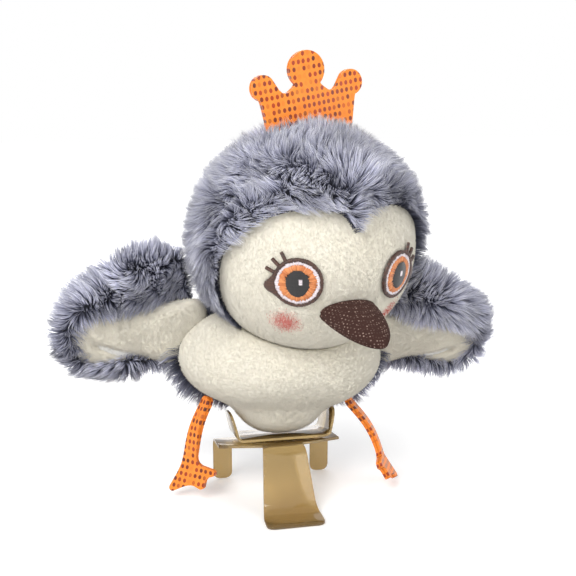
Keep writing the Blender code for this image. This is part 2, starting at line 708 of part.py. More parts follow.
# Legs: flat foil cut-outs with webbed feet, hung at the hips
heel = -LEG_LENGTH
foot_low = heel - TOE_DOWN
leg_outline = arc(0, 0, LEG_WIDTH / 2, 0, 180, 6)
leg_outline += [(-LEG_WIDTH / 2, heel * 0.6), (-LEG_WIDTH / 2, heel)]
leg_outline += arc(-TOE_BACK, foot_low, TOE_RADIUS, 170, 320, 4)
leg_outline.append((TOE_FORWARD * 0.25, heel - TOE_DOWN * 0.74))
leg_outline += arc(TOE_FORWARD * 0.62, heel - TOE_DOWN * 0.55, TOE_RADIUS, -90, 20, 3)
leg_outline.append((TOE_FORWARD * 0.78, heel - TOE_DOWN * 0.26))
leg_outline += arc(TOE_FORWARD - TOE_RADIUS, heel + TOE_RISE, TOE_RADIUS, -60, 110, 4)
leg_outline += [(LEG_WIDTH / 2, heel + LEG_WIDTH * 0.4), (LEG_WIDTH / 2, heel * 0.6)]
leg_out = LEG_LAYER * 1.5 + SEAM_GAP
hip_down = math.radians(HIP_DOWN)
hip_forward = math.radians(HIP_FORWARD)
for name, side, splay in (("right", -1, LEG_SPLAY_RIGHT), ("left", 1, LEG_SPLAY_LEFT)):
    way = Vector((side * math.cos(hip_forward), -math.sin(hip_forward), 0)) * math.cos(hip_down)
    way.z = -math.sin(hip_down)
    hip_place = way * (body_skin(way, 0.0) + math.hypot(LEG_WIDTH / 2, leg_out) + HIP_GAP)
    hip = empty(f"leg_{name}", torso, hip_place, (0, -side * splay, -side * LEG_TURN_IN))

    def on_leg(x, y, height):
        return Vector((side * height, -x, y))

    plate(f"leg_outer_{name}", FOIL_CLOTH, hip, leg_outline, on_leg, leg_out - LEG_LAYER, leg_out)
    plate(f"leg_core_{name}", FELT, hip, leg_outline, on_leg, -LEG_LAYER / 2, LEG_LAYER / 2)
    plate(f"leg_inner_{name}", FOIL_CLOTH, hip, leg_outline, on_leg, -leg_out, LEG_LAYER - leg_out)

# Stand the whole toy's box over the origin
bpy.context.view_layer.update()
shown = [thing for thing in bpy.data.objects if thing.type == "MESH"]
points = [thing.matrix_world @ vert.co for thing in shown for vert in thing.data.vertices]
toy_frame.location.x = -(min(p.x for p in points) + max(p.x for p in points)) / 2
toy_frame.location.y = -(min(p.y for p in points) + max(p.y for p in points)) / 2
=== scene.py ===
"""Looks of a plush penguin with a foil-dot crown, sitting in a clear display stand."""
import json
import math

import bmesh
import bpy
import numpy as np
from mathutils import Euler, Matrix, Vector


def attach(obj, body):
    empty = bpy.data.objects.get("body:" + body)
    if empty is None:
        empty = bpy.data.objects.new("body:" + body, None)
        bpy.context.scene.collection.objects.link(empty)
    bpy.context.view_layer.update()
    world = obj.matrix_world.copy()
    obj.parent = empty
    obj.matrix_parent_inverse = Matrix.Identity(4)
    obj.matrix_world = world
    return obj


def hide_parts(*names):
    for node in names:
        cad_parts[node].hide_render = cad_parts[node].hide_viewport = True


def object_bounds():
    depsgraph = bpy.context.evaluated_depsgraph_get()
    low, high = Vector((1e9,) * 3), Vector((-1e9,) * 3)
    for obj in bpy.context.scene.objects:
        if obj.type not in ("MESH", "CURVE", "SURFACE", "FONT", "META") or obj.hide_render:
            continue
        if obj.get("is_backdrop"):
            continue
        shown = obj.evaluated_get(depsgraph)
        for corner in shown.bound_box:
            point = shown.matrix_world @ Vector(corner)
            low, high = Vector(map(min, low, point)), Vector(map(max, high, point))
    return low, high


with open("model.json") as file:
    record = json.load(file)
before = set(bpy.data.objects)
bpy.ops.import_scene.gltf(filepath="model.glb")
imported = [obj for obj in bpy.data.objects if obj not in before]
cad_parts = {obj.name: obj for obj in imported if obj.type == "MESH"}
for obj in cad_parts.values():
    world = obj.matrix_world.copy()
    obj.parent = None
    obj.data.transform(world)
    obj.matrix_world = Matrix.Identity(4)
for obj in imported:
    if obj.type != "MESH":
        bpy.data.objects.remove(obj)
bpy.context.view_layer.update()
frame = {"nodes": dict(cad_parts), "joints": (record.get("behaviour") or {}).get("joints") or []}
nodes = frame["nodes"]
pivot = {joint["name"]: Vector(joint.get("pos_m") or (0, 0, 0)) for joint in frame["joints"]}

# Stand: a base and a cradle, each folded from clear acrylic sheet about 1.2 mm thick.
# The sheet is laser cut, so its corners are round and its thin edges are polished and catch the light.


def colour(code):
    """Linear colour of an sRGB hex code."""
    parts = [int(code[k:k + 2], 16) / 255 for k in (1, 3, 5)]
    return (*[p / 12.92 if p <= 0.04045 else ((p + 0.055) / 1.055) ** 2.4 for p in parts], 1.0)


def add_node(tree, kind, settings, links):
    """Add a node; its inputs take plain values or other nodes' outputs."""
    made = tree.nodes.new(kind)
    for name, value in settings.items():
        setattr(made, name, value)
    for socket, value in links.items():
        if isinstance(value, bpy.types.NodeSocket):
            tree.links.new(value, made.inputs[socket])
        else:
            made.inputs[socket].default_value = value
    return made


def new_material(name, values):
    """Principled material with constant values set on its own sockets."""
    made = bpy.data.materials.new(name)
    made.use_nodes = True
    shader = made.node_tree.nodes["Principled BSDF"]
    for socket, value in values.items():
        shader.inputs[socket].default_value = value
    return made, made.node_tree, shader


def add_piece(name, mesh, body, slot, finish, *replaced):
    """Put a finished mesh into the scene on its body, in place of its solids."""
    piece = bpy.data.objects.new(name, mesh)
    bpy.context.scene.collection.objects.link(piece)
    mesh.materials.clear()
    mesh.materials.append(finish)
    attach(piece, body)
    if replaced:
        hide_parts(*replaced)
    return piece


# Cast acrylic: clear, tinted tan as a painted reflection of a wooden table seen through and in it, with faint
# handling smears that soften its gloss.
SMEAR_SIZE = 0.012
POLISHED_EDGE = 0.00025
acrylic, tree, shader = new_material("clear_acrylic_sheet", {
    "Base Color": colour("#bfa26a"), "Transmission Weight": 0.8, "IOR": 1.49})
place = add_node(tree, "ShaderNodeTexCoord", {}, {})
smear = add_node(tree, "ShaderNodeTexNoise", {}, {
    "Vector": place.outputs["Object"], "Scale": 1 / SMEAR_SIZE, "Detail": 4.0})
dull = add_node(tree, "ShaderNodeMapRange", {}, {
    "Value": smear.outputs["Fac"], "From Min": 0.45, "From Max": 0.8, "To Min": 0.03, "To Max": 0.16})
tree.links.new(dull.outputs["Result"], shader.inputs["Roughness"])

for name in ("stand_base", "stand_cradle"):
    bm = bmesh.new()
    bm.from_mesh(nodes[name].data)
    bmesh.ops.remove_doubles(bm, verts=bm.verts, dist=0.00001)
    mesh = bpy.data.meshes.new(name + "_sheet")
    bm.to_mesh(mesh)
    bm.free()
    sheet = add_piece(name + "_sheet", mesh, "stand", "clear_sheet", acrylic, name)
    edge = sheet.modifiers.new("polished_edge", "BEVEL")
    edge.width = POLISHED_EDGE
    edge.segments = 2
    edge.limit_method = "ANGLE"
    edge.angle_limit = math.radians(50)
    mesh.shade_smooth()
    mesh.set_sharp_from_angle(angle=math.radians(60))

# Glue pad: a clear double-sided acrylic foam pad that holds the cradle on the base.
# It is squashed flat, and small air bubbles in it make it milky.
BUBBLE_SIZE = 0.0012


def refinish(name, finish):
    """Give a solid that is kept as it is its finish."""
    nodes[name].data.materials.clear()
    nodes[name].data.materials.append(finish)


adhesive, tree, shader = new_material("clear_foam_adhesive", {
    "Base Color": colour("#f1eee4"), "Transmission Weight": 0.9, "IOR": 1.47})
place = add_node(tree, "ShaderNodeTexCoord", {}, {})
bubbles = add_node(tree, "ShaderNodeTexVoronoi", {}, {
    "Vector": place.outputs["Object"], "Scale": 1 / BUBBLE_SIZE})
milky = add_node(tree, "ShaderNodeMapRange", {}, {
    "Value": bubbles.outputs["Distance"], "To Min": 0.45, "To Max": 0.2})
tree.links.new(milky.outputs["Result"], shader.inputs["Roughness"])
refinish("glue_pad", adhesive)

# Filling: loose polyester fibre in the body, head, beak and wings, and a small cloth pouch of pellets
# in the seat. The cloth covers hide it all; the fibre is white and tangled, the pouch plain weave.
FIBRE_TANGLE = 0.003
POUCH_THREAD = 0.0008
fibre, tree, shader = new_material("polyester_fibre_fill", {"Roughness": 1.0, "Sheen Weight": 0.3})
place = add_node(tree, "ShaderNodeTexCoord", {}, {})
tangle = add_node(tree, "ShaderNodeTexNoise", {}, {
    "Vector": place.outputs["Object"], "Scale": 1 / FIBRE_TANGLE, "Detail": 6.0, "Distortion": 2.0})
white = add_node(tree, "ShaderNodeMix", {"data_type": "RGBA"}, {
    "Factor": tangle.outputs["Fac"], "A": colour("#d8d6d0"), "B": colour("#f6f5f1")})
tree.links.new(white.outputs["Result"], shader.inputs["Base Color"])
rough = add_node(tree, "ShaderNodeBump", {}, {"Height": tangle.outputs["Fac"], "Distance": 0.001})
tree.links.new(rough.outputs["Normal"], shader.inputs["Normal"])
for name in ("body_stuffing", "head_stuffing", "wing_padding_right", "wing_padding_left"):
    refinish(name, fibre)

calico, tree, shader = new_material("calico_pouch", {"Roughness": 0.9})
place = add_node(tree, "ShaderNodeTexCoord", {}, {})
weave = add_node(tree, "ShaderNodeTexChecker", {}, {
    "Vector": place.outputs["Object"], "Scale": 1 / POUCH_THREAD,
    "Color1": colour("#cfcbc0"), "Color2": colour("#b9b4a6")})
tree.links.new(weave.outputs["Color"], shader.inputs["Base Color"])
refinish("pellet_pouch", calico)

# Belly: cream short-pile plush over the front of the stuffed body, sewn to the fur back at the sides.
# The cloth bulges over the filling and narrows to the seat, with a dish for the head and a groove
# on each shoulder where the seam of the wing draws it in.
LEAN = math.radians(4)
HEAD_PLACE = Vector((0.0055, -0.014, 0.0595))
HEAD_RADIUS = 0.046
TORSO_AXES = np.array((0.044, 0.034, 0.031))
SHOULDER = np.array((0.048, 0.008, 0.014))
WING_EDGE = 0.006
WING_SEAM = 0.033
WING_SEAM_RISE = 0.0015
CLOTH_THICKNESS = 0.0008
BELLY_REACH = math.radians(88)
BELLY_SWELL = 0.0005
BELLY_SWELL_SIZE = 0.026
MEAN_RADIUS = 0.035
BELLY_HAIRS = 34000
BELLY_HAIR_LENGTH = (0.0006, 0.0011)
BELLY_HAIR_WIDTH = 0.00028
wing_turns = {-1: (14, -8, 6), 1: (30, 5, -6)}
upright = Matrix.Rotation(LEAN, 4, "Y")
torso = Matrix.Translation(pivot["head_turn"]) @ upright @ Matrix.Translation(-HEAD_PLACE)
hollows = [(np.array(HEAD_PLACE), np.zeros(3), HEAD_RADIUS + 0.0004)]
for side, turn in wing_turns.items():
    seam = Euler([math.radians(angle) for angle in turn]).to_matrix().col[2]
    hollows.append((SHOULDER * (side, 1, 1), np.array(seam), WING_EDGE + 0.0006))


def ease(value):
    """Smooth step from 0 to 1."""
    value = np.clip(value, 0, 1)
    return value * value * (3 - 2 * value)


def aim(x, y, front):
    """Directions at the angle hypot(x, y) from the front (-1) or the back (1)."""
    off = np.hypot(x, y)
    spread = np.sinc(off / math.pi)
    return np.stack((x * spread, front * np.cos(off), y * spread), -1)


def fan(edge, front, rings, count):
    """Rows of directions from the middle of a panel out to its edge, an angle for each bearing."""
    bearing = np.arange(count) / count * math.tau
    reach = np.arange(rings + 1)[:, None] / rings * edge(bearing)
    return aim(reach * np.cos(bearing), reach * np.sin(bearing), front)


def egg(ways):
    """Distance from the middle of the body to its skin."""
    full = 1 / np.linalg.norm(ways / TORSO_AXES, axis=-1)
    rise = np.degrees(np.arcsin(np.clip(ways[..., 2], -1, 1)))
    folded = np.stack((np.abs(ways[..., 0]), ways[..., 1], ways[..., 2]), -1)
    aside = np.degrees(np.arccos(np.clip(folded @ (SHOULDER / np.linalg.norm(SHOULDER)), -1, 1)))
    return full * (1 + 0.12 * np.exp(-(aside / 28) ** 2) - 0.22 * np.exp(-((rise + 35) / 25) ** 2))


def hollow(ways):
    """Distance from the middle of the body to the head's dish or a wing's groove."""
    nearest = np.full(ways.shape[:-1], 1.0)
    for middle, axis, radius in hollows:
        across = ways - (ways @ axis)[..., None] * axis
        aside = middle - axis * (middle @ axis)
        size = (across ** 2).sum(-1)
        along = across @ aside
        under = along ** 2 - size * (aside @ aside - radius ** 2)
        reach = (along - np.sqrt(np.maximum(under, 0))) / size
        height = (ways * reach[..., None] - middle) @ axis + WING_SEAM / 2 - WING_SEAM_RISE
        reach = reach + 2 * WING_EDGE * ease(-height / WING_EDGE)
        nearest = np.where((along > 0) & (under > 0), np.minimum(nearest, reach), nearest)
    return nearest


def place_in(matrix, points):
    """Points of a piece's own frame in the toy's frame."""
    return points @ np.array(matrix.to_3x3()).T + np.array(matrix.translation)


def waves(points, size, seed):
    """Smooth random swell between about -1 and 1, whose bumps are of the given size."""
    rng = np.random.default_rng(seed)
    total = np.zeros(points.shape[:-1])
    for k in range(9):
        way = rng.normal(size=3)
        way *= math.tau / size / np.linalg.norm(way) * rng.uniform(0.6, 1.5)
        total += np.sin(points @ way + rng.uniform(0, math.tau))
    return total / 4


def cloth(name, rows, thick):
    """Mesh of rows of points that close on themselves; a row in one place is a middle point."""
    points = []
    index = []
    for row in rows:
        if np.ptp(row, axis=0).max() < 1e-7:
            index.append(np.full(len(row), len(points)))
            points.append(row[0])
        else:
            index.append(np.arange(len(row)) + len(points))
            points.extend(row)
    faces = []
    for one, two in zip(index, index[1:]):
        for corners in zip(one, np.roll(one, -1), np.roll(two, -1), two):
            faces.append(list(dict.fromkeys(int(corner) for corner in corners)))
    mesh = bpy.data.meshes.new(name)
    mesh.from_pydata(points, [], faces)
    bm = bmesh.new()
    bm.from_mesh(mesh)
    bmesh.ops.recalc_face_normals(bm, faces=bm.faces)
    bmesh.ops.dissolve_degenerate(bm, dist=0.00002, edges=bm.edges)
    bmesh.ops.solidify(bm, geom=bm.faces, thickness=thick)
    bmesh.ops.recalc_face_normals(bm, faces=bm.faces)
    bm.to_mesh(mesh)
    bm.free()
    mesh.shade_smooth()
    return mesh


def scatter(rows, count, rng):
    """Random places spread evenly over rows of points, and the outward way at each."""
    rows = np.asarray(rows)
    after = np.roll(rows, -1, 1)
    normal = np.cross(np.gradient(rows, axis=0), after - np.roll(rows, 1, 1))
    normal /= np.linalg.norm(normal, axis=-1, keepdims=True) + 1e-12
    if (normal * (rows - rows.reshape(-1, 3).mean(0))).sum() < 0:
        normal = -normal
    for end, beside in ((0, 1), (-1, -2)):
        if np.ptp(rows[end], axis=0).max() < 1e-7:
            normal[end] = normal[beside].mean(0)
    area = np.linalg.norm(np.cross(after[1:] - rows[:-1], rows[1:] - after[:-1]), axis=-1)
    pick = rng.choice(area.size, count, p=area.ravel() / area.sum())
    i, j = np.unravel_index(pick, area.shape)
    k = (j + 1) % rows.shape[1]
    u, v = rng.random((2, count, 1))
    spots = []
    for field in (rows, normal):
        low = field[i, j] * (1 - u) + field[i, k] * u
        high = field[i + 1, j] * (1 - u) + field[i + 1, k] * u
        spots.append(low * (1 - v) + high * v)
    spots[1] /= np.linalg.norm(spots[1], axis=-1, keepdims=True) + 1e-12
    return spots


def pile(name, roots, outward, lay, length, width, tuft, tone, rng):
    """Tapered hairs as one mesh; each rises outward, bends along its lay and closes up into its tuft.

    Every hair is three-sided; long hairs in tufts are bent once, and short loose hairs are straight.
    Real hairs are finer: these are drawn as thick as they need to be to show.
    """
    count = len(roots)
    steps = 2 if tuft else 1
    sides = 3
    batch = 2000
    length = np.broadcast_to(length, count)[:, None]
    lay = lay - outward * (lay * outward).sum(-1, keepdims=True)
    slope = np.sqrt(1 + (lay ** 2).sum(-1, keepdims=True))
    bend = roots + outward * length * 0.5
    tips = roots + (outward + lay) / slope * length
    tone = tone + rng.normal(0.0, 0.10, count)
    if tuft:
        heads = rng.choice(count, count // tuft, replace=False)
        nearest = np.zeros(count, int)
        for start in range(0, count, batch):
            gap = roots[start:start + batch, None].astype(np.float32) - roots[None, heads].astype(np.float32)
            nearest[start:start + batch] = heads[np.argmin((gap ** 2).sum(-1), axis=1)]
        pull = rng.uniform(0.1, 0.6, (count, 1))
        tips += (tips[nearest] - tips) * pull
        bend += (bend[nearest] - bend) * pull * 0.4
        tone += 0.6 * (tone[nearest] - tone)
    tone = np.clip(tone, 0.02, 0.97)
    along = tips - roots
    aside = np.cross(outward + rng.normal(size=along.shape) * 0.05, along)
    aside /= np.linalg.norm(aside, axis=-1, keepdims=True) + 1e-9
    across = np.cross(along, aside)
    across /= np.linalg.norm(across, axis=-1, keepdims=True) + 1e-9
    size = steps * sides + 1
    points = np.zeros((count, size, 3))
    shades = np.zeros((count, size, 2))
    for k in range(steps):
        t = k / steps
        middle = roots * (1 - t) ** 2 + bend * 2 * t * (1 - t) + tips * t ** 2
        for corner in range(sides):
            angle = math.tau * corner / sides
            edge = aside * math.cos(angle) + across * math.sin(angle)
            points[:, k * sides + corner] = middle + edge * (width / 2 * (1 - t) ** 0.4)
            shades[:, k * sides + corner] = np.stack((tone + 0.01 * corner, np.full(count, t)), -1)
    points[:, -1] = tips
    shades[:, -1] = np.stack((tone, np.ones(count)), -1)
    faces = []
    for corner in range(sides):
        after = (corner + 1) % sides
        wall = [corner, after, sides + after, sides + corner]
        faces += [wall] * (steps - 1)
        faces.append([(steps - 1) * sides + corner, (steps - 1) * sides + after, size - 1])
    strip = np.concatenate(faces)
    corners = (strip[None, :] + np.arange(count)[:, None] * size).ravel()
    sizes = np.tile([len(face) for face in faces], count)
    mesh = bpy.data.meshes.new(name)
    mesh.vertices.add(count * size)
    mesh.vertices.foreach_set("co", points.ravel())
    mesh.loops.add(len(corners))
    mesh.loops.foreach_set("vertex_index", corners.astype(np.int32))
    mesh.polygons.add(len(sizes))
    mesh.polygons.foreach_set("loop_start", (np.cumsum(sizes) - sizes).astype(np.int32))
    for layer in ("strand", "OFBake"):
        mesh.uv_layers.new(name=layer)
        mesh.uv_layers[layer].data.foreach_set("uv", shades.reshape(-1, 2)[corners].ravel())
    mesh.uv_layers["strand"].active_render = True
    mesh.update()
    mesh.shade_smooth()
    facing = outward + rng.normal(size=outward.shape) * (0.3 if tuft else 0.05)
    facing /= np.linalg.norm(facing, axis=-1, keepdims=True)
    mesh.normals_split_custom_set_from_vertices(np.repeat(facing, size, axis=0))
    return mesh


# Short polyester plush: matt cream backing, a little yellower in soft random patches.
plush, tree, shader = new_material("cream_short_pile_plush", {
    "Roughness": 0.95, "Sheen Weight": 0.2, "Sheen Roughness": 0.5, "Specular IOR Level": 0.15})
place = add_node(tree, "ShaderNodeTexCoord", {}, {})
drift = add_node(tree, "ShaderNodeTexNoise", {}, {
    "Vector": place.outputs["Object"], "Scale": 1 / 0.016, "Detail": 3.0})
stretch = add_node(tree, "ShaderNodeMapping", {}, {
    "Vector": place.outputs["Object"], "Scale": (1.0, 1.0, 0.35)})
hairs = add_node(tree, "ShaderNodeTexNoise", {}, {
    "Vector": stretch.outputs["Vector"], "Scale": 1 / 0.0011, "Detail": 5.0})
tint = add_node(tree, "ShaderNodeMix", {"data_type": "RGBA"}, {
    "Factor": drift.outputs["Fac"], "A": colour("#e9e2cd"), "B": colour("#f2ede0")})
shade = add_node(tree, "ShaderNodeMix", {"data_type": "RGBA", "blend_type": "MULTIPLY"}, {
    "Factor": 0.06, "A": tint.outputs["Result"], "B": hairs.outputs["Color"]})
tree.links.new(shade.outputs["Result"], shader.inputs["Base Color"])
fluff = add_node(tree, "ShaderNodeBump", {}, {
    "Height": hairs.outputs["Fac"], "Distance": 0.0004, "Strength": 0.25})
tree.links.new(fluff.outputs["Normal"], shader.inputs["Normal"])


def strands(name, dark, light, values):
    """Material of hairs or threads, each toned between two colours."""
    made, tree, shader = new_material(name, values)
    spot = add_node(tree, "ShaderNodeUVMap", {"uv_map": "strand"}, {})
    parts = add_node(tree, "ShaderNodeSeparateXYZ", {}, {"Vector": spot.outputs["UV"]})
    tint = add_node(tree, "ShaderNodeMix", {"data_type": "RGBA"}, {
        "Factor": parts.outputs["X"], "A": colour(dark), "B": colour(light)})
    tree.links.new(tint.outputs["Result"], shader.inputs["Base Color"])
    return made


# The free hairs of that plush: matt, cream all along, some paler than others.
SHORT_HAIR = {"Roughness": 0.9, "Specular IOR Level": 0.1}
cream_hair = strands("cream_plush_hair", "#eee7d6", "#f3eee1", SHORT_HAIR)


def belly_edge(bearing):
    return np.full_like(bearing, BELLY_REACH)


rng = np.random.default_rng(11)
ways = fan(belly_edge, -1, 56, 144)
reach = np.minimum(egg(ways), hollow(ways))
swell = waves(ways * MEAN_RADIUS, BELLY_SWELL_SIZE, 5) * BELLY_SWELL
belly_rows = place_in(torso, ways * (reach + swell)[..., None])
belly = add_piece("belly_plush", cloth("belly_plush", belly_rows, CLOTH_THICKNESS), "torso", "cream_pile",
                  plush, "belly_panel")
roots, outward = scatter(belly_rows, BELLY_HAIRS, rng)
lay = rng.normal(size=roots.shape) * 0.6 + np.array((0, 0, -0.7))
length = rng.uniform(*BELLY_HAIR_LENGTH, len(roots))
belly_hair = pile("belly_hair", roots, outward, lay, length, BELLY_HAIR_WIDTH, 0, 0.5, rng)
add_piece("belly_hair", belly_hair, "torso", "cream_pile", cream_hair)

# Back: grey long-pile faux fur over the back of the body, sewn to the belly at the sides.
# The fur is acrylic, dark at the roots and pale lavender grey at the tips, and falls in tufts.
# The backing is a charcoal knit that shows only where the fur parts.
BACK_REACH = math.radians(91)
BACK_HAIRS = 20000
BACK_FUR_LENGTH = 0.0105
FUR_WIDTH = 0.00028
HAIRS_IN_TUFT = 16

# Acrylic long pile: soft gloss, each hair paler toward its tip, some tufts deeper than others.
grey_hair, tree, shader = new_material("grey_faux_fur_hair", {"Roughness": 0.75, "Specular IOR Level": 0.2})
spot = add_node(tree, "ShaderNodeUVMap", {"uv_map": "strand"}, {})
parts = add_node(tree, "ShaderNodeSeparateXYZ", {}, {"Vector": spot.outputs["UV"]})
ramp = add_node(tree, "ShaderNodeValToRGB", {}, {"Fac": parts.outputs["Y"]})
ramp.color_ramp.elements[0].color = colour("#3c3d47")
ramp.color_ramp.elements[1].color = colour("#fafaff")
for share, code in ((0.3, "#74768a"), (0.65, "#c4c5da")):
    ramp.color_ramp.elements.new(share).color = colour(code)
depth = add_node(tree, "ShaderNodeMapRange", {}, {"Value": parts.outputs["X"], "To Min": 0.5, "To Max": 1.45})
grey = add_node(tree, "ShaderNodeCombineColor", {}, {
    "Red": depth.outputs["Result"], "Green": depth.outputs["Result"], "Blue": depth.outputs["Result"]})
toned = add_node(tree, "ShaderNodeMix", {"data_type": "RGBA", "blend_type": "MULTIPLY"}, {
    "Factor": 1.0, "A": ramp.outputs["Color"], "B": grey.outputs["Color"]})
tree.links.new(toned.outputs["Result"], shader.inputs["Base Color"])

# Charcoal knit backing: matt and mottled.
backing, tree, shader = new_material("charcoal_fur_backing", {"Roughness": 1.0, "Specular IOR Level": 0.1})
place = add_node(tree, "ShaderNodeTexCoord", {}, {})
knit = add_node(tree, "ShaderNodeTexNoise", {}, {
    "Vector": place.outputs["Object"], "Scale": 1 / 0.0015, "Detail": 4.0})
tint = add_node(tree, "ShaderNodeMix", {"data_type": "RGBA"}, {
    "Factor": knit.outputs["Fac"], "A": colour("#2c2d33"), "B": colour("#55565e")})
tree.links.new(tint.outputs["Result"], shader.inputs["Base Color"])


def swirl(points, size, seed):
    """Smooth random directions that turn over the given distance."""
    return np.stack([waves(points, size, seed + k) for k in range(3)], -1)


def fur(name, roots, outward, comb, length, body, seed):
    """Long fur in tufts over given roots, combed one way and ruffled."""
    rng = np.random.default_rng(seed)
    lay = comb + swirl(roots, 0.034, seed) * 0.5 + swirl(roots, 0.009, seed + 5) * 0.3
    tone = 0.5 + 0.22 * waves(roots, 0.016, seed + 9)
    length = length * rng.uniform(0.75, 1.2, len(roots))
    mesh = pile(name, roots, outward, lay, length, FUR_WIDTH, HAIRS_IN_TUFT, tone, rng)
    return add_piece(name, mesh, body, "grey_fur", grey_hair)


def back_edge(bearing):
    return np.full_like(bearing, BACK_REACH)


ways = fan(back_edge, 1, 48, 144)
reach = np.minimum(egg(ways), hollow(ways))
back_rows = place_in(torso, ways * reach[..., None])
add_piece("back_backing", cloth("back_backing", back_rows, CLOTH_THICKNESS), "torso", "grey_fur", backing,
          "back_panel")
roots, outward = scatter(back_rows, BACK_HAIRS, rng)
ways = (roots - np.array(torso.translation)) @ np.array(torso.to_3x3())
ways /= np.linalg.norm(ways, axis=-1, keepdims=True)
room = ease((hollow(ways) - egg(ways) + 0.006) / 0.010) * ease((ways[:, 2] + 0.7) / 0.45)
keep = room > 0.02
comb = np.broadcast_to((0, 0.2, -0.5), roots.shape)
length = BACK_FUR_LENGTH * (0.4 + 0.6 * room[keep])
fur("back_fur", roots[keep], outward[keep], comb[keep], length, "torso", 31)

# Wings: each a padded paddle, sewn to the shoulder along the seam that it folds on.
# A band of cream plush lines the inside; the grey fur outside is cut larger, so it rolls forward
# over the top, the tip and the outer part of the lower edge.
WING_LENGTH = 0.053
WING_HALF_CHORD = 0.0265
WING_WIDEST = 0.024
LINING_LENGTH = 0.046
LINING_EDGE = 0.0054
LINING_WIDEST = 0.034
LINING_THICKNESS = 0.0006
LINING_HAIRS = 9000
LINING_HAIR_LENGTH = (0.0008, 0.0015)
LINING_HAIR_WIDTH = 0.0003
LINING_TUCK = 0.008
CREASE_DEPTH = 0.0034
CREASE_WIDTH = 0.0024
CREST_HEIGHT = 0.020
CREST_LENGTH = 0.042
FUR_MARGIN = 0.0045
FUR_ROLL = 0.0075
WING_BACKING = 0.0005
WING_HAIRS = 22000
WING_FUR_LENGTH = 0.0095
bearing = np.arange(120) / 120 * math.tau


def flare(s):
    """Share of its full breadth that the wing has at a distance from the seam."""
    return np.sin(math.pi / 2 * np.clip(s / WING_WIDEST, 0, 1))


def rounding(s, edge, widest, length):
    """Share of the chord left at a distance from the seam, as the root and the tip round off."""
    root = np.maximum(0, 1 - np.maximum(0, -s / edge) ** 3) ** (1 / 3)
    tip = np.clip((s - widest) / (length - widest), 0, 1)
    return root * np.sqrt(1 - tip ** 2.6)


def wing_chord(s):
    """Middle and half of the chord of the whole wing."""
    beyond = np.maximum(0, s - WING_WIDEST) / (WING_LENGTH - WING_WIDEST)
    half = WING_SEAM / 2 + (WING_HALF_CHORD - WING_SEAM / 2) * flare(s)
    middle = WING_SEAM_RISE + 0.006 * flare(s) - 0.004 * beyond ** 2
    return middle, half * rounding(s, WING_EDGE, WING_WIDEST, WING_LENGTH)


def lining_chord(s):
    """Middle and half of the chord of the cream band."""
    low = WING_SEAM_RISE - WING_SEAM / 2 + 0.0006 + 0.0044 * flare(s)
    high = 0.018 - 0.002 * flare(s)
    return (high + low) / 2, (high - low) / 2 * rounding(s, LINING_EDGE, LINING_WIDEST, LINING_LENGTH)


def chord_outline(chord, edge, length):
    """Outline of a wing or lining at equal steps round it, and the middle it is spread from."""
    centre = (length - edge) / 2
    s = centre + (length + edge) / 2 * np.cos(bearing)
    middle, half = chord(s)
    centre = np.array((centre, chord(np.array(centre))[0]))
    return np.stack((s, middle + np.copysign(half, np.sin(bearing))), -1), centre


wing_outline, wing_centre = chord_outline(wing_chord, WING_EDGE, WING_LENGTH)
lining_outline, lining_centre = chord_outline(lining_chord, LINING_EDGE, LINING_LENGTH)
from_root = ease((wing_outline[:, 0] + WING_EDGE) / WING_WIDEST)
away = wing_outline - wing_centre
away /= np.linalg.norm(away, axis=-1, keepdims=True)
crest = CREST_HEIGHT * (1 - ease((wing_outline[:, 0] + WING_EDGE) / CREST_LENGTH))
crest *= ease((wing_outline[:, 1] - 0.004) / 0.012)
fur_outline = wing_outline + np.stack((0 * crest, crest), -1) - away * (FUR_MARGIN * from_root)[:, None]
across = fur_outline - lining_outline
roll = FUR_ROLL * np.minimum(1, np.linalg.norm(across, axis=-1) / FUR_ROLL) * from_root * 0.6

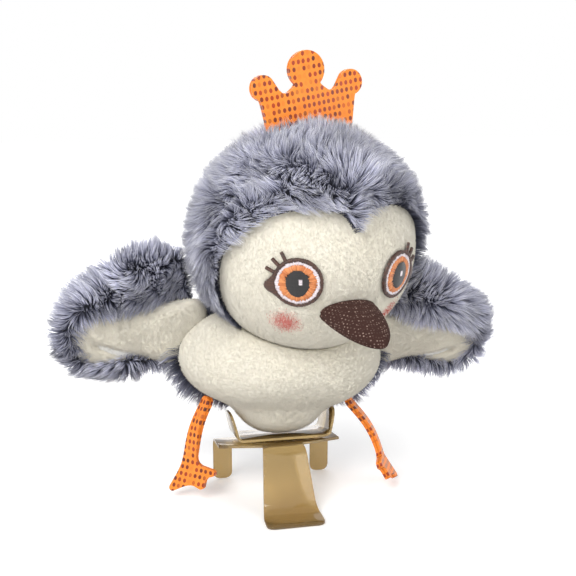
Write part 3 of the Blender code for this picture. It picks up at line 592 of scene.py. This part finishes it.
for name, side in (("right", -1), ("left", 1)):
    body = f"wing_{name}"
    turn = Euler([math.radians(angle) for angle in wing_turns[side]]).to_matrix().to_4x4()
    wing = Matrix.Translation(pivot[f"wing_fold_{name}"]) @ upright @ turn

    def on_wing(flat, front):
        spots = np.stack((side * flat[:, 0], -np.broadcast_to(front, len(flat)), flat[:, 1]), -1)
        return place_in(wing, spots)

    lining_rows = []
    for share in np.arange(25) / 24:
        flat = lining_centre + (lining_outline - lining_centre) * share
        fold = flat[:, 1] + 0.0125 - (flat[:, 0] - 0.012) * 0.52
        crease = CREASE_DEPTH * np.exp(-(fold / CREASE_WIDTH) ** 2) * ease((flat[:, 0] - 0.004) / 0.014)
        crease *= ease((0.040 - flat[:, 0]) / 0.006)
        bulge = 0.0055 * math.sqrt(1 - share ** 2) + 0.005 * (1 - ease((flat[:, 0] + 0.004) / 0.022))
        tucked = LINING_TUCK * (1 - ease((flat[:, 0] + LINING_EDGE) / 0.014))
        flat = flat - np.stack((tucked, 0 * tucked), -1)
        lining_rows.append(on_wing(flat, 0.0016 + bulge - crease * math.sqrt(1 - share ** 2)))
    lining = add_piece(f"wing_lining_plush_{name}", cloth("lining", lining_rows, LINING_THICKNESS), body,
                       "cream_pile", plush, f"wing_lining_{name}")
    roots, outward = scatter(lining_rows, LINING_HAIRS, rng)
    facing = np.array(wing.to_3x3() @ Vector((0, -1, 0)))
    outward *= np.sign((outward * facing).sum(-1, keepdims=True))
    lay = rng.normal(size=roots.shape) * 0.7
    length = rng.uniform(*LINING_HAIR_LENGTH, len(roots))
    lining_hair = pile("lining_hair", roots, outward, lay, length, LINING_HAIR_WIDTH, 0, 0.5, rng)
    add_piece(f"wing_lining_hair_{name}", lining_hair, body, "cream_pile", cream_hair)

    fur_rows = []
    for part, front in ((0, 0.2), (0.1, 0.6), (0.25, 0.9), (0.45, 1), (0.65, 0.95), (0.85, 0.65), (1, 0)):
        fur_rows.append(on_wing(lining_outline + across * part, roll * front + 0.0008))
    for share in (0.97, 0.92, 0.84, 0.72, 0.55, 0.35, 0.15, 0.0):
        flat = wing_centre + (fur_outline - wing_centre) * share
        fur_rows.append(on_wing(flat, -0.0015 - 0.005 * math.sqrt(1 - share ** 2)))
    add_piece(f"wing_backing_{name}", cloth("wing_backing", fur_rows, WING_BACKING), body, "grey_fur",
              backing, f"wing_fur_{name}")
    roots, outward = scatter(fur_rows, WING_HAIRS, rng)
    local = (roots - np.array(wing.translation)) @ np.array(wing.to_3x3())
    s = side * local[:, 0]
    middle, half = lining_chord(s)
    rim = 1 - ease((np.abs(local[:, 2] - middle) - half) / 0.007)
    rim *= (local[:, 1] < 0.002) * ease((LINING_LENGTH + 0.004 - s) / 0.006)
    above = np.sign(local[:, 2] - middle)
    comb = np.stack((side * (0.25 + 0 * s), 0.1 + 0 * s, rim * (0.2 * above - 0.9)), -1)
    comb = comb @ np.array(wing.to_3x3()).T
    length = WING_FUR_LENGTH * (0.5 + 0.5 * ease((s + 0.008) / 0.016)) * (1 - 0.25 * rim)
    fur(f"wing_fur_hair_{name}", roots, outward, comb, length, body, 60 + side)

# Face: cream short-pile plush over the front of the stuffed head, with airbrushed pink cheeks.
# It is sewn into the fur hood along the brow, which dips in a peak over the beak.
HEAD_TURN = math.radians(11)
CHEEK_OUT = math.radians(38)
CHEEK_DOWN = math.radians(35)
CHEEK_RADIUS = 0.0095
FACE_HAIRS = 36000
FACE_HAIR_LENGTH = (0.0005, 0.0009)
FACE_HAIR_WIDTH = 0.00026
turn = Euler((0, -LEAN, HEAD_TURN)).to_matrix().to_4x4()
head = Matrix.Translation(pivot["head_turn"]) @ upright @ turn


def face_edge(bearing):
    """Angle from the front to the hood's seam; the bearing runs from the toy's left, upward."""
    up = np.sin(bearing)
    peak = 10 * np.exp(-(np.cos(bearing) / 0.16) ** 2)
    return np.radians(np.where(up < 0, 72 - up * 26, 72 - up * 49 - peak))


def head_way(side, out, down):
    """Direction from the middle of the head, at angles outward and downward from the front."""
    return np.array((side * math.sin(out) * math.cos(down), -math.cos(out) * math.cos(down), -math.sin(down)))


face_rows = place_in(head, fan(lambda b: face_edge(b) + 0.05, -1, 48, 144) * HEAD_RADIUS)

# The same plush with pink sprayed on, fading out from the middle of each cheek.
face_plush = plush.copy()
face_plush.name = "cream_short_pile_plush_with_blush"
tree = face_plush.node_tree
shader = tree.nodes["Principled BSDF"]
cream = shader.inputs["Base Color"].links[0].from_socket
place = next(node for node in tree.nodes if node.type == "TEX_COORD")
cheeks = []
for side in (-1, 1):
    cheek = Vector(head_way(side, CHEEK_OUT, CHEEK_DOWN))
    cheeks.append(head @ (cheek * HEAD_RADIUS))
    gap = add_node(tree, "ShaderNodeVectorMath", {"operation": "DISTANCE"}, {
        0: place.outputs["Object"], 1: cheeks[-1]})
    spray = add_node(tree, "ShaderNodeMapRange", {"interpolation_type": "SMOOTHERSTEP"}, {
        "Value": gap.outputs["Value"], "From Min": 0.0, "From Max": CHEEK_RADIUS,
        "To Min": 0.8, "To Max": 0.0})
    blush = add_node(tree, "ShaderNodeMix", {"data_type": "RGBA"}, {
        "Factor": spray.outputs["Result"], "A": cream, "B": colour("#cf4a45")})
    cream = blush.outputs["Result"]
tree.links.new(cream, shader.inputs["Base Color"])
face = add_piece("face_plush", cloth("face_plush", face_rows, CLOTH_THICKNESS), "head", "cream_pile",
                 face_plush, "face_panel")

# The sprayed hairs of the cheeks.
pink_hair = strands("blush_plush_hair", "#c8443f", "#e79a8c", SHORT_HAIR)

roots, outward = scatter(face_rows, FACE_HAIRS, rng)
lay = rng.normal(size=roots.shape) * 0.6 + np.array((0, 0, -0.7))
near = np.min([np.linalg.norm(roots - np.array(cheek), axis=-1) for cheek in cheeks], axis=0)
sprayed = rng.random(len(roots)) < 0.85 * (1 - ease(near / CHEEK_RADIUS))
length = rng.uniform(*FACE_HAIR_LENGTH, len(roots))
for name, finish, chosen in (("face_hair", cream_hair, ~sprayed), ("cheek_hair", pink_hair, sprayed)):
    hair = pile(name, roots[chosen], outward[chosen], lay[chosen], length[chosen], FACE_HAIR_WIDTH, 0, 0.5,
                rng)
    add_piece(name, hair, "head", "cream_pile", finish)

# Hood: grey long-pile faux fur over the top, sides and back of the head, like the back's.
# It stands out all round the head, and hangs a little over the edge of the face.
HOOD_HAIRS = 63000
HOOD_FUR_LENGTH = 0.0092
FRINGE_REACH = 0.30
hood_rows = place_in(head, fan(lambda b: math.pi - face_edge(b), 1, 52, 144) * HEAD_RADIUS)
add_piece("hood_backing", cloth("hood_backing", hood_rows, CLOTH_THICKNESS), "head", "grey_fur", backing,
          "hood_fur")
roots, outward = scatter(hood_rows, HOOD_HAIRS, rng)
ways = (roots - np.array(head.translation)) @ np.array(head.to_3x3())
ways /= np.linalg.norm(ways, axis=-1, keepdims=True)
brow = np.arccos(np.clip(-ways[:, 1], -1, 1)) - face_edge(np.arctan2(ways[:, 2], ways[:, 0]))
fringe = 1 - ease(brow / FRINGE_REACH)
forward = np.array(head.to_3x3() @ Vector((0, -1, 0)))
comb = forward * (1.5 * fringe)[:, None] + np.array((0, 0, -0.2))
length = HOOD_FUR_LENGTH * (0.35 + 0.65 * ease((ways[:, 2] + 0.8) / 0.55)) * (1 + 0.05 * fringe)
ahead = ways[:, 1] < 0.1
rightward = ways[:, 0] < 0
quarters = (("front_right", ahead & rightward), ("front_left", ahead & ~rightward),
            ("rear_right", ~ahead & rightward), ("rear_left", ~ahead & ~rightward))
for name, part in quarters:
    fur(f"hood_fur_{name}", roots[part], outward[part], comb[part], length[part], "head", 80)

# Eyes: embroidered straight onto the face in shiny rayon thread, as blocks of satin stitch.
# From the outside in: a dark brown ring drawn out to a corner, with three lashes, an uneven lilac-white
# ring, an orange ring of uneven stitches, a black pupil and a small white glint.
EYE_RING = 0.0102
EYE_WHITE = 0.0088
EYE_IRIS = 0.0077
EYE_PUPIL = 0.0053
THREAD = 0.00045
EYE_OUT = math.radians(29)
EYE_DOWN = math.radians(10)
LASH_ANGLES = (24, 43, 62)
LASH_LENGTH = 0.0036
LASH_WIDTH = 0.0014

# Rayon embroidery thread: a silky gloss, toned stitch by stitch.
RAYON = {"Roughness": 0.4, "Specular IOR Level": 0.5, "Sheen Weight": 0.2}
brown_thread = strands("brown_rayon_thread", "#28140d", "#54301f", RAYON)
white_thread = strands("lilac_white_rayon_thread", "#cdbfc6", "#f4ecee", RAYON)
orange_thread = strands("orange_rayon_thread", "#b9602c", "#eb9c5e", RAYON)
black_thread = strands("black_rayon_thread", "#070506", "#171213", RAYON)


def satin(name, eye_place, starts, ends, lift, slot, finish, *replaced):
    """Satin stitches between pairs of points, each a rounded thread that dives in at both ends."""
    count = len(starts)
    along = ends - starts
    aside = np.stack((-along[:, 1], along[:, 0]), -1)
    aside *= THREAD * 0.62 / np.linalg.norm(aside, axis=-1, keepdims=True)
    tone = rng.uniform(0.1, 0.9, count)
    points = []
    shades = []
    for t, rise in ((0, -0.4), (0.12, 0.8), (0.5, 1.0), (0.88, 0.8), (1, -0.4)):
        for across, crest in ((-1, 0.1), (0, 1.0), (1, 0.1)):
            flat = starts + along * t + aside * across
            points.append(eye_place(flat, lift * rise + THREAD * 0.5 * crest * rise))
            shades.append(np.stack((tone + 0.02 * across, np.full(count, t)), -1))
    points = np.stack(points, 1).reshape(-1, 3)
    shades = np.stack(shades, 1).reshape(-1, 2)
    strip = [(3 * i + j, 3 * i + j + 1, 3 * i + j + 4, 3 * i + j + 3) for i in range(4) for j in range(2)]
    corners = (np.array(strip).ravel() + np.arange(count)[:, None] * 15).ravel()
    mesh = bpy.data.meshes.new(name)
    mesh.from_pydata(points, [], corners.reshape(-1, 4).tolist())
    for layer in ("strand", "OFBake"):
        mesh.uv_layers.new(name=layer)
        mesh.uv_layers[layer].data.foreach_set("uv", shades[corners].ravel())
    mesh.uv_layers["strand"].active_render = True
    mesh.shade_smooth()
    return add_piece(name, mesh, "head", slot, finish, *replaced)


def ring_stitches(count, inner, outer, ragged):
    """Ends of stitches that run straight in toward the middle of an eye."""
    angle = np.arange(count) / count * math.tau
    ray = np.stack((np.cos(angle), np.sin(angle)), -1)
    near = inner + rng.uniform(-1, 1, count) * ragged
    far = outer(np.degrees(angle)) + rng.uniform(-1, 1, count) * ragged * 0.4
    return ray * near[:, None], ray * far[:, None]


def column_stitches(start, end, width):
    """Ends of stitches laid side by side across a narrow stroke."""
    start = np.array(start)
    run = np.array(end) - start
    count = max(3, round(np.linalg.norm(run) / (THREAD * 0.8)))
    middle = start + run * np.linspace(0, 1, count)[:, None]
    across = np.array((-run[1], run[0])) / np.linalg.norm(run) * width / 2
    return middle - across, middle + across


for name, side in (("right", -1), ("left", 1)):
    gaze = head_way(side, EYE_OUT, EYE_DOWN)
    outer_way = np.array((side * math.cos(EYE_OUT), math.sin(EYE_OUT), 0))
    upper_way = np.array((0, 0, 1)) - gaze * gaze[2]
    upper_way /= np.linalg.norm(upper_way)

    def on_eye(flat, lift):
        way = gaze + (flat[:, :1] * outer_way + flat[:, 1:] * upper_way) / HEAD_RADIUS
        way *= (HEAD_RADIUS + 0.0011 + lift) / np.linalg.norm(way, axis=-1, keepdims=True)
        return place_in(head, way)

    def cornered(degrees):
        aside = (degrees + 180) % 360 - 180 + 8
        return EYE_RING + 0.004 * np.exp(-(aside / 16) ** 2)

    white = ring_stitches(112, EYE_IRIS - 0.0006, lambda a: EYE_WHITE + 0.0004 + 0 * a, 0.0004)
    satin(f"eye_white_stitches_{name}", on_eye, *white, 0.0002, "white_thread", white_thread,
          f"eye_white_{name}")
    iris = ring_stitches(92, EYE_PUPIL - 0.0008, lambda a: EYE_IRIS + 0 * a, 0.0009)
    satin(f"eye_iris_stitches_{name}", on_eye, *iris, 0.0004, "orange_thread", orange_thread,
          f"eye_iris_{name}")
    ring = ring_stitches(150, EYE_WHITE - 0.0002, cornered, 0.0003)
    satin(f"eye_ring_stitches_{name}", on_eye, *ring, 0.0006, "brown_thread", brown_thread,
          f"eye_outline_{name}")
    for k, degrees in enumerate(LASH_ANGLES):
        ray = np.array((math.cos(math.radians(degrees)), math.sin(math.radians(degrees))))
        lash = column_stitches(ray * EYE_RING, ray * (EYE_RING + LASH_LENGTH), LASH_WIDTH)
        satin(f"eye_lash_{k}_{name}", on_eye, *lash, 0.0006, "brown_thread", brown_thread)
    rows = np.arange(-EYE_PUPIL + 0.0002, EYE_PUPIL, THREAD * 0.8)
    half = np.sqrt(EYE_PUPIL ** 2 - rows ** 2) + rng.uniform(0, 0.0003, len(rows))
    pupil = np.stack((-half, rows), -1), np.stack((half, rows), -1)
    satin(f"eye_pupil_stitches_{name}", on_eye, *pupil, 0.0007, "black_thread", black_thread,
          f"eye_pupil_{name}")
    middle = np.array((0.0012 if side < 0 else -0.0003, 0.0008)) * (-1, 1)
    glint = column_stitches(middle - (0, 0.0008), middle + (0, 0.0008), 0.0017)
    satin(f"eye_glint_stitches_{name}", on_eye, *glint, 0.0011, "white_thread", white_thread,
          f"eye_glint_{name}")

# Beak: two halves of dark brown mesh knit, sewn together round the sides and stuffed.
# The knit is open, and pale specks of the filling show through its holes in slanting rows.
BEAK_LENGTH = 0.030
BEAK_WIDTH = 0.025
BEAK_HEIGHT = 0.0140
KNIT = 0.0012
BEAK_SPECK = 0.0011
BEAK_CLOTH = 0.0004
beak_drop = math.radians(29)
beak_dip = math.radians(12)
root_way = np.array((0, -math.cos(beak_drop), -math.sin(beak_drop)))
tip_way = np.array((0, -math.cos(beak_dip), -math.sin(beak_dip)))
up_way = np.array((0, -math.sin(beak_dip), math.cos(beak_dip)))
beak_bearing = np.arange(180) / 180 * math.tau


def beak_spread(station):
    """Share of its full breadth that the beak has at a station, 1 at the face and 0 at the tip."""
    return (1 - (1 - station) ** 1.7) ** 0.6


def beak_row(station, inset, relief):
    """Points round the beak at a station."""
    spread = beak_spread(station)
    across = (BEAK_WIDTH / 2 * spread - inset + relief) * np.cos(beak_bearing)
    up = (BEAK_HEIGHT / 2 * spread - inset + relief) * np.sin(beak_bearing)
    way = root_way + (across[:, None] * np.array((1, 0, 0)) + up[:, None] * up_way) / HEAD_RADIUS
    way *= (HEAD_RADIUS + 0.0003) / np.linalg.norm(way, axis=-1, keepdims=True)
    return place_in(head, way + tip_way * ((1 - station) * BEAK_LENGTH))


beak_rows = []
for station in np.linspace(1, 0, 81) ** 1.4:
    spread = beak_spread(station)
    around = beak_bearing * BEAK_WIDTH / 2 * 0.8
    down = (1 - station) * BEAK_LENGTH
    loops = np.cos(math.tau * (around + down) / KNIT) * np.cos(math.tau * (around - down) / KNIT)
    seam = np.exp(-(np.abs(np.sin(beak_bearing)) * spread * BEAK_HEIGHT / 2 / 0.0007) ** 2)
    beak_rows.append(beak_row(station, 0, (0.00016 * loops - 0.0005 * seam) * min(1, spread * 3)))
fill_rows = [beak_row(station, 0.0016, 0) for station in np.linspace(1, 0.25, 12)]
add_piece("beak_fill", cloth("beak_fill", fill_rows, BEAK_CLOTH), "head", "fibre", fibre, "beak_stuffing")

# Open mesh knit: matt dark brown, with pale specks where the filling shows through its holes.
beak_knit, tree, shader = new_material("brown_mesh_knit", {"Roughness": 0.9, "Specular IOR Level": 0.2})
place = add_node(tree, "ShaderNodeTexCoord", {}, {})
cells = add_node(tree, "ShaderNodeTexVoronoi", {}, {
    "Vector": place.outputs["Object"], "Scale": 1 / BEAK_SPECK, "Randomness": 0.35})
speck = add_node(tree, "ShaderNodeMapRange", {}, {
    "Value": cells.outputs["Distance"], "From Min": 0.22, "From Max": 0.34, "To Min": 1.0, "To Max": 0.0})
lit = add_node(tree, "ShaderNodeSeparateColor", {}, {"Color": cells.outputs["Color"]})
chance = add_node(tree, "ShaderNodeMath", {"operation": "MULTIPLY"}, {
    0: speck.outputs["Result"], 1: lit.outputs["Red"]})
tint = add_node(tree, "ShaderNodeMix", {"data_type": "RGBA"}, {
    "Factor": chance.outputs["Value"], "A": colour("#402a25"), "B": colour("#a58c80")})
tree.links.new(tint.outputs["Result"], shader.inputs["Base Color"])
beak = add_piece("beak_knit", cloth("beak_knit", beak_rows, BEAK_CLOTH), "head", "beak_cloth", beak_knit,
                 "beak_upper", "beak_lower")

# Crown: a flat cut-out of orange satin with rows of dark foil dots, a face each side of a felt core.
# It is sewn to the top of the hood by its lower edge, and the fur stands up round it.
DOT_SPACING = 0.0023
DOT_ROW_SPACING = 0.00305
DOT_ROW_SLANT = math.radians(-5)
SATIN_MOTTLE = 0.004
FELT_FUZZ = 0.0008
CUT_OUT_GRID = 0.0015
CROWN_TILT = math.radians(-4)

# Satin with printed foil dots: a soft sheen on the cloth and darker, glossier dots, some of them worn.
foil, tree, shader = new_material("orange_satin_with_foil_dots", {"Specular IOR Level": 0.5})
spot = add_node(tree, "ShaderNodeUVMap", {"uv_map": "cut"}, {})
rows = add_node(tree, "ShaderNodeMapping", {}, {
    "Vector": spot.outputs["UV"], "Rotation": (0, 0, DOT_ROW_SLANT),
    "Scale": (1 / DOT_SPACING, 1 / DOT_ROW_SPACING, 1)})
dots = add_node(tree, "ShaderNodeTexVoronoi", {"voronoi_dimensions": "2D"}, {
    "Vector": rows.outputs["Vector"], "Scale": 1.0, "Randomness": 0.12})
edge = add_node(tree, "ShaderNodeMapRange", {}, {
    "Value": dots.outputs["Distance"], "From Min": 0.27, "From Max": 0.38, "To Min": 1.0, "To Max": 0.0})
chance = add_node(tree, "ShaderNodeSeparateColor", {}, {"Color": dots.outputs["Color"]})
worn = add_node(tree, "ShaderNodeMapRange", {}, {
    "Value": chance.outputs["Red"], "From Min": 0.05, "From Max": 0.4, "To Min": 0.15, "To Max": 1.0})
mark = add_node(tree, "ShaderNodeMath", {"operation": "MULTIPLY"}, {
    0: edge.outputs["Result"], 1: worn.outputs["Result"]})
ink = add_node(tree, "ShaderNodeMix", {"data_type": "RGBA"}, {
    "Factor": chance.outputs["Green"], "A": colour("#b03c06"), "B": colour("#5a1a02")})
weave = add_node(tree, "ShaderNodeTexNoise", {}, {
    "Vector": spot.outputs["UV"], "Scale": 1 / SATIN_MOTTLE, "Detail": 4.0})
satin_tint = add_node(tree, "ShaderNodeMix", {"data_type": "RGBA"}, {
    "Factor": weave.outputs["Fac"], "A": colour("#f57a10"), "B": colour("#ff9a35")})
tint = add_node(tree, "ShaderNodeMix", {"data_type": "RGBA"}, {
    "Factor": mark.outputs["Value"], "A": satin_tint.outputs["Result"], "B": ink.outputs["Result"]})
tree.links.new(tint.outputs["Result"], shader.inputs["Base Color"])
gloss = add_node(tree, "ShaderNodeMapRange", {}, {
    "Value": mark.outputs["Value"], "To Min": 0.5, "To Max": 0.28})
tree.links.new(gloss.outputs["Result"], shader.inputs["Roughness"])

# Pressed felt: matt and fuzzy, with slight changes of tone.
felt, tree, shader = new_material("orange_felt", {"Roughness": 1.0})
place = add_node(tree, "ShaderNodeTexCoord", {}, {})
fuzz = add_node(tree, "ShaderNodeTexNoise", {}, {
    "Vector": place.outputs["Object"], "Scale": 1 / FELT_FUZZ, "Detail": 4.0})
tint = add_node(tree, "ShaderNodeMix", {"data_type": "RGBA"}, {
    "Factor": fuzz.outputs["Fac"], "A": colour("#d9660f"), "B": colour("#f28a2a")})
tree.links.new(tint.outputs["Result"], shader.inputs["Base Color"])


def arc(x, y, radius, start, end, steps):
    """Points of an arc between two angles in degrees."""
    angles = np.radians(np.linspace(start, end, steps))
    return np.stack((x + radius * np.cos(angles), y + radius * np.sin(angles)), -1)


def soften(outline):
    """Round off the corners of a closed outline."""
    for _ in range(2):
        after = np.roll(outline, -1, axis=0)
        outline = np.stack((outline * 0.75 + after * 0.25, outline * 0.25 + after * 0.75), 1).reshape(-1, 2)
    return outline


def cut_out(name, outline, low, high, placed):
    """Flat cut-out with a fine grid in it, so that it can curl; its map is the cloth's own flat measure."""
    bm = bmesh.new()
    bm.faces.new([bm.verts.new((x, y, 0)) for x, y in outline])
    for axis in (0, 1):
        way = Vector((1 - axis, axis, 0))
        for place in np.arange(outline[:, axis].min() + CUT_OUT_GRID, outline[:, axis].max(), CUT_OUT_GRID):
            everything = bm.verts[:] + bm.edges[:] + bm.faces[:]
            bmesh.ops.bisect_plane(bm, geom=everything, plane_co=way * place, plane_no=way)
    raised = bmesh.ops.extrude_face_region(bm, geom=bm.faces[:])["geom"]
    for vert in bm.verts:
        vert.co.z = low
    for item in raised:
        if isinstance(item, bmesh.types.BMVert):
            item.co.z = high
    bmesh.ops.recalc_face_normals(bm, faces=bm.faces)
    cut = bm.loops.layers.uv.new("cut")
    for face in bm.faces:
        for loop in face.loops:
            loop[cut].uv = loop.vert.co.xy
    places = placed(np.array([vert.co for vert in bm.verts]))
    for vert, place in zip(bm.verts, places):
        vert.co = place
    mesh = bpy.data.meshes.new(name)
    bm.to_mesh(mesh)
    bm.free()
    mesh.shade_smooth()
    mesh.set_sharp_from_angle(angle=math.radians(45))
    return mesh


crown_edge = np.concatenate((arc(0.020, 0.0145, 0.0054, -75, 140, 20), [(0.0115, 0.0105)],
                             arc(0, 0.0208, 0.0080, -48, 88, 14)))
crown_base = np.stack((np.linspace(-0.0188, 0.0188, 15), -0.0045 - np.linspace(-1, 1, 15) ** 2 * 0.003), -1)
crown_outline = soften(np.concatenate((crown_base, crown_edge, crown_edge[::-1] * (-1, 1))))
crown = Matrix.Translation(pivot["crown_flex"]) @ upright @ turn @ Matrix.Rotation(CROWN_TILT, 4, "Y")


def on_crown(spots):
    curl = waves(spots * (1, 1, 0), 0.030, 3) * 0.0006 - 8.0 * spots[:, 0] ** 2 * np.abs(spots[:, 1])
    return place_in(crown, np.stack((spots[:, 0], spots[:, 2] + curl, spots[:, 1]), -1))


crown_layers = (("crown_front", -0.0014, -0.0003, foil), ("crown_core", -0.0004, 0.0004, felt),
                ("crown_back", 0.0003, 0.0014, foil))
for node, low, high, finish in crown_layers:
    plate = cut_out(node + "_cut", crown_outline * (0.985 if finish is felt else 1), low, high, on_crown)
    add_piece(node + "_cut", plate, "crown", "foil_cloth" if finish is foil else "felt", finish, node)

# Legs: narrow strips of the same dotted satin and felt with webbed feet, sewn on at the hips.
# They hang loose, so each is curved and a little twisted along its length.
LEG_WIDTH = 0.0062
LEG_LENGTH = 0.030
TOE_FORWARD = 0.0135
TOE_DOWN = 0.0115
TOE_TIP = 0.0016
LEG_TURN = 20
LEG_BOW = 0.0022
heel = -LEG_LENGTH
leg_outline = soften(np.concatenate((
    arc(0, 0, LEG_WIDTH / 2, 0, 180, 12), [(-LEG_WIDTH / 2, heel * 0.6), (-LEG_WIDTH / 2, heel)],
    arc(-0.0045, heel - TOE_DOWN, TOE_TIP, 170, 320, 9), [(TOE_FORWARD * 0.25, heel - TOE_DOWN * 0.62)],
    arc(TOE_FORWARD * 0.62, heel - TOE_DOWN * 0.55, TOE_TIP, -90, 20, 7),
    [(TOE_FORWARD * 0.72, heel - TOE_DOWN * 0.2)],
    arc(TOE_FORWARD - TOE_TIP, heel + 0.001, TOE_TIP, -60, 110, 9),
    [(LEG_WIDTH / 2, heel + LEG_WIDTH * 0.4), (LEG_WIDTH / 2, heel * 0.6)])))
for name, side, splay, twist in (("right", -1, 14, 38), ("left", 1, 34, 0)):
    turn = Euler((0, math.radians(-side * splay), math.radians(-side * LEG_TURN))).to_matrix().to_4x4()
    leg = Matrix.Translation(pivot[f"leg_swing_{name}"]) @ upright @ turn

    def on_leg(spots):
        share = np.clip(-spots[:, 1] / LEG_LENGTH, 0, 1.4)
        angle = np.radians(twist) * ease(share)
        bow = LEG_BOW * np.sin(math.pi * np.clip(share, 0, 1))
        flat = side * (spots[:, 2] + bow)
        turned = np.stack((flat * np.cos(angle) + spots[:, 0] * np.sin(angle),
                           flat * np.sin(angle) - spots[:, 0] * np.cos(angle), spots[:, 1]), -1)
        return place_in(leg, turned)

    for node, low, high, finish in (("leg_outer", 0.0003, 0.0014, foil), ("leg_core", -0.0004, 0.0004, felt),
                                    ("leg_inner", -0.0014, -0.0003, foil)):
        strip = cut_out(f"{node}_cut_{name}", leg_outline, low, high, on_leg)
        slot = "foil_cloth" if finish is foil else "felt"
        add_piece(f"{node}_cut_{name}", strip, f"leg_{name}", slot, finish, f"{node}_{name}")

# Studio: a white floor, a large soft key light from the upper left and an even bright room.
# The floor and the room look white to the camera and in clear or glossy pieces, and light the toy less.
CAMERA_AIM = Vector((0.0026, 0.0195, 0.094))
CAMERA_DISTANCE = 0.42
LAMP_AIM = Vector((0, 0, 0.09))
camera = bpy.data.objects.new("camera", bpy.data.cameras.new("camera"))
bpy.context.scene.collection.objects.link(camera)
azimuth = math.radians(-12)
elevation = math.radians(12)
flat_share = math.cos(elevation)
back = Vector((math.sin(azimuth) * flat_share, -math.cos(azimuth) * flat_share, math.sin(elevation)))
camera.location = CAMERA_AIM + back * CAMERA_DISTANCE
camera.rotation_euler = back.to_track_quat("Z", "Y").to_euler()
camera.data.lens = 58.3
camera.data.sensor_width = 36
camera.data.clip_start = 0.01
bpy.context.scene.camera = camera


def seen(tree):
    """1 for rays from the camera and for those by way of a clear or glossy piece, and 0 for the rest."""
    rays = add_node(tree, "ShaderNodeLightPath", {}, {})
    clear = add_node(tree, "ShaderNodeMath", {"operation": "MAXIMUM"}, {
        0: rays.outputs["Is Glossy Ray"], 1: rays.outputs["Is Transmission Ray"]})
    either = add_node(tree, "ShaderNodeMath", {"operation": "MAXIMUM"}, {
        0: rays.outputs["Is Camera Ray"], 1: clear.outputs["Value"]})
    return either.outputs["Value"]


floor_mesh = bpy.data.meshes.new("floor")
floor_mesh.from_pydata([(x, y, -0.0002) for x, y in ((-3, -3), (3, -3), (3, 3), (-3, 3))], [], [(0, 1, 2, 3)])
floor = bpy.data.objects.new("floor", floor_mesh)
bpy.context.scene.collection.objects.link(floor)
floor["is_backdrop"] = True

# Matt white paper: it keeps the toy's shadow and fades to plain white further off.
paper, tree, shader = new_material("white_paper_floor", {
    "Base Color": colour("#f0f0f0"), "Roughness": 1.0, "Specular IOR Level": 0.0,
    "Emission Color": (1, 1, 1, 1)})
place = add_node(tree, "ShaderNodeTexCoord", {}, {})
far = add_node(tree, "ShaderNodeVectorMath", {"operation": "LENGTH"}, {0: place.outputs["Object"]})
fade = add_node(tree, "ShaderNodeMapRange", {}, {
    "Value": far.outputs["Value"], "From Min": 0.08, "From Max": 0.35, "To Min": 0.25, "To Max": 1.0})
lift = add_node(tree, "ShaderNodeMath", {"operation": "MULTIPLY"}, {
    0: seen(tree), 1: fade.outputs["Result"]})
tree.links.new(lift.outputs["Value"], shader.inputs["Emission Strength"])
floor_mesh.materials.append(paper)

lamps = (("key", (-0.55, -0.65, 0.75), 0.6, 8.6), ("fill", (0.75, -0.5, 0.45), 0.7, 2.8),
         ("rim", (0.1, 0.8, 0.7), 0.6, 3.0))
for name, spot, size, power in lamps:
    lamp = bpy.data.objects.new(name, bpy.data.lights.new(name, "AREA"))
    bpy.context.scene.collection.objects.link(lamp)
    lamp.data.size = size
    lamp.data.energy = power
    lamp.location = spot
    lamp.rotation_euler = (Vector(spot) - LAMP_AIM).to_track_quat("Z", "Y").to_euler()

world = bpy.data.worlds.new("room")
bpy.context.scene.world = world
world.use_nodes = True
tree = world.node_tree
level = add_node(tree, "ShaderNodeMapRange", {}, {"Value": seen(tree), "To Min": 0.52, "To Max": 1.0})
sky = tree.nodes["Background"]
sky.inputs["Color"].default_value = (1, 1, 1, 1)
tree.links.new(level.outputs["Result"], sky.inputs["Strength"])
bpy.context.scene.view_settings.view_transform = "Standard"

low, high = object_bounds()
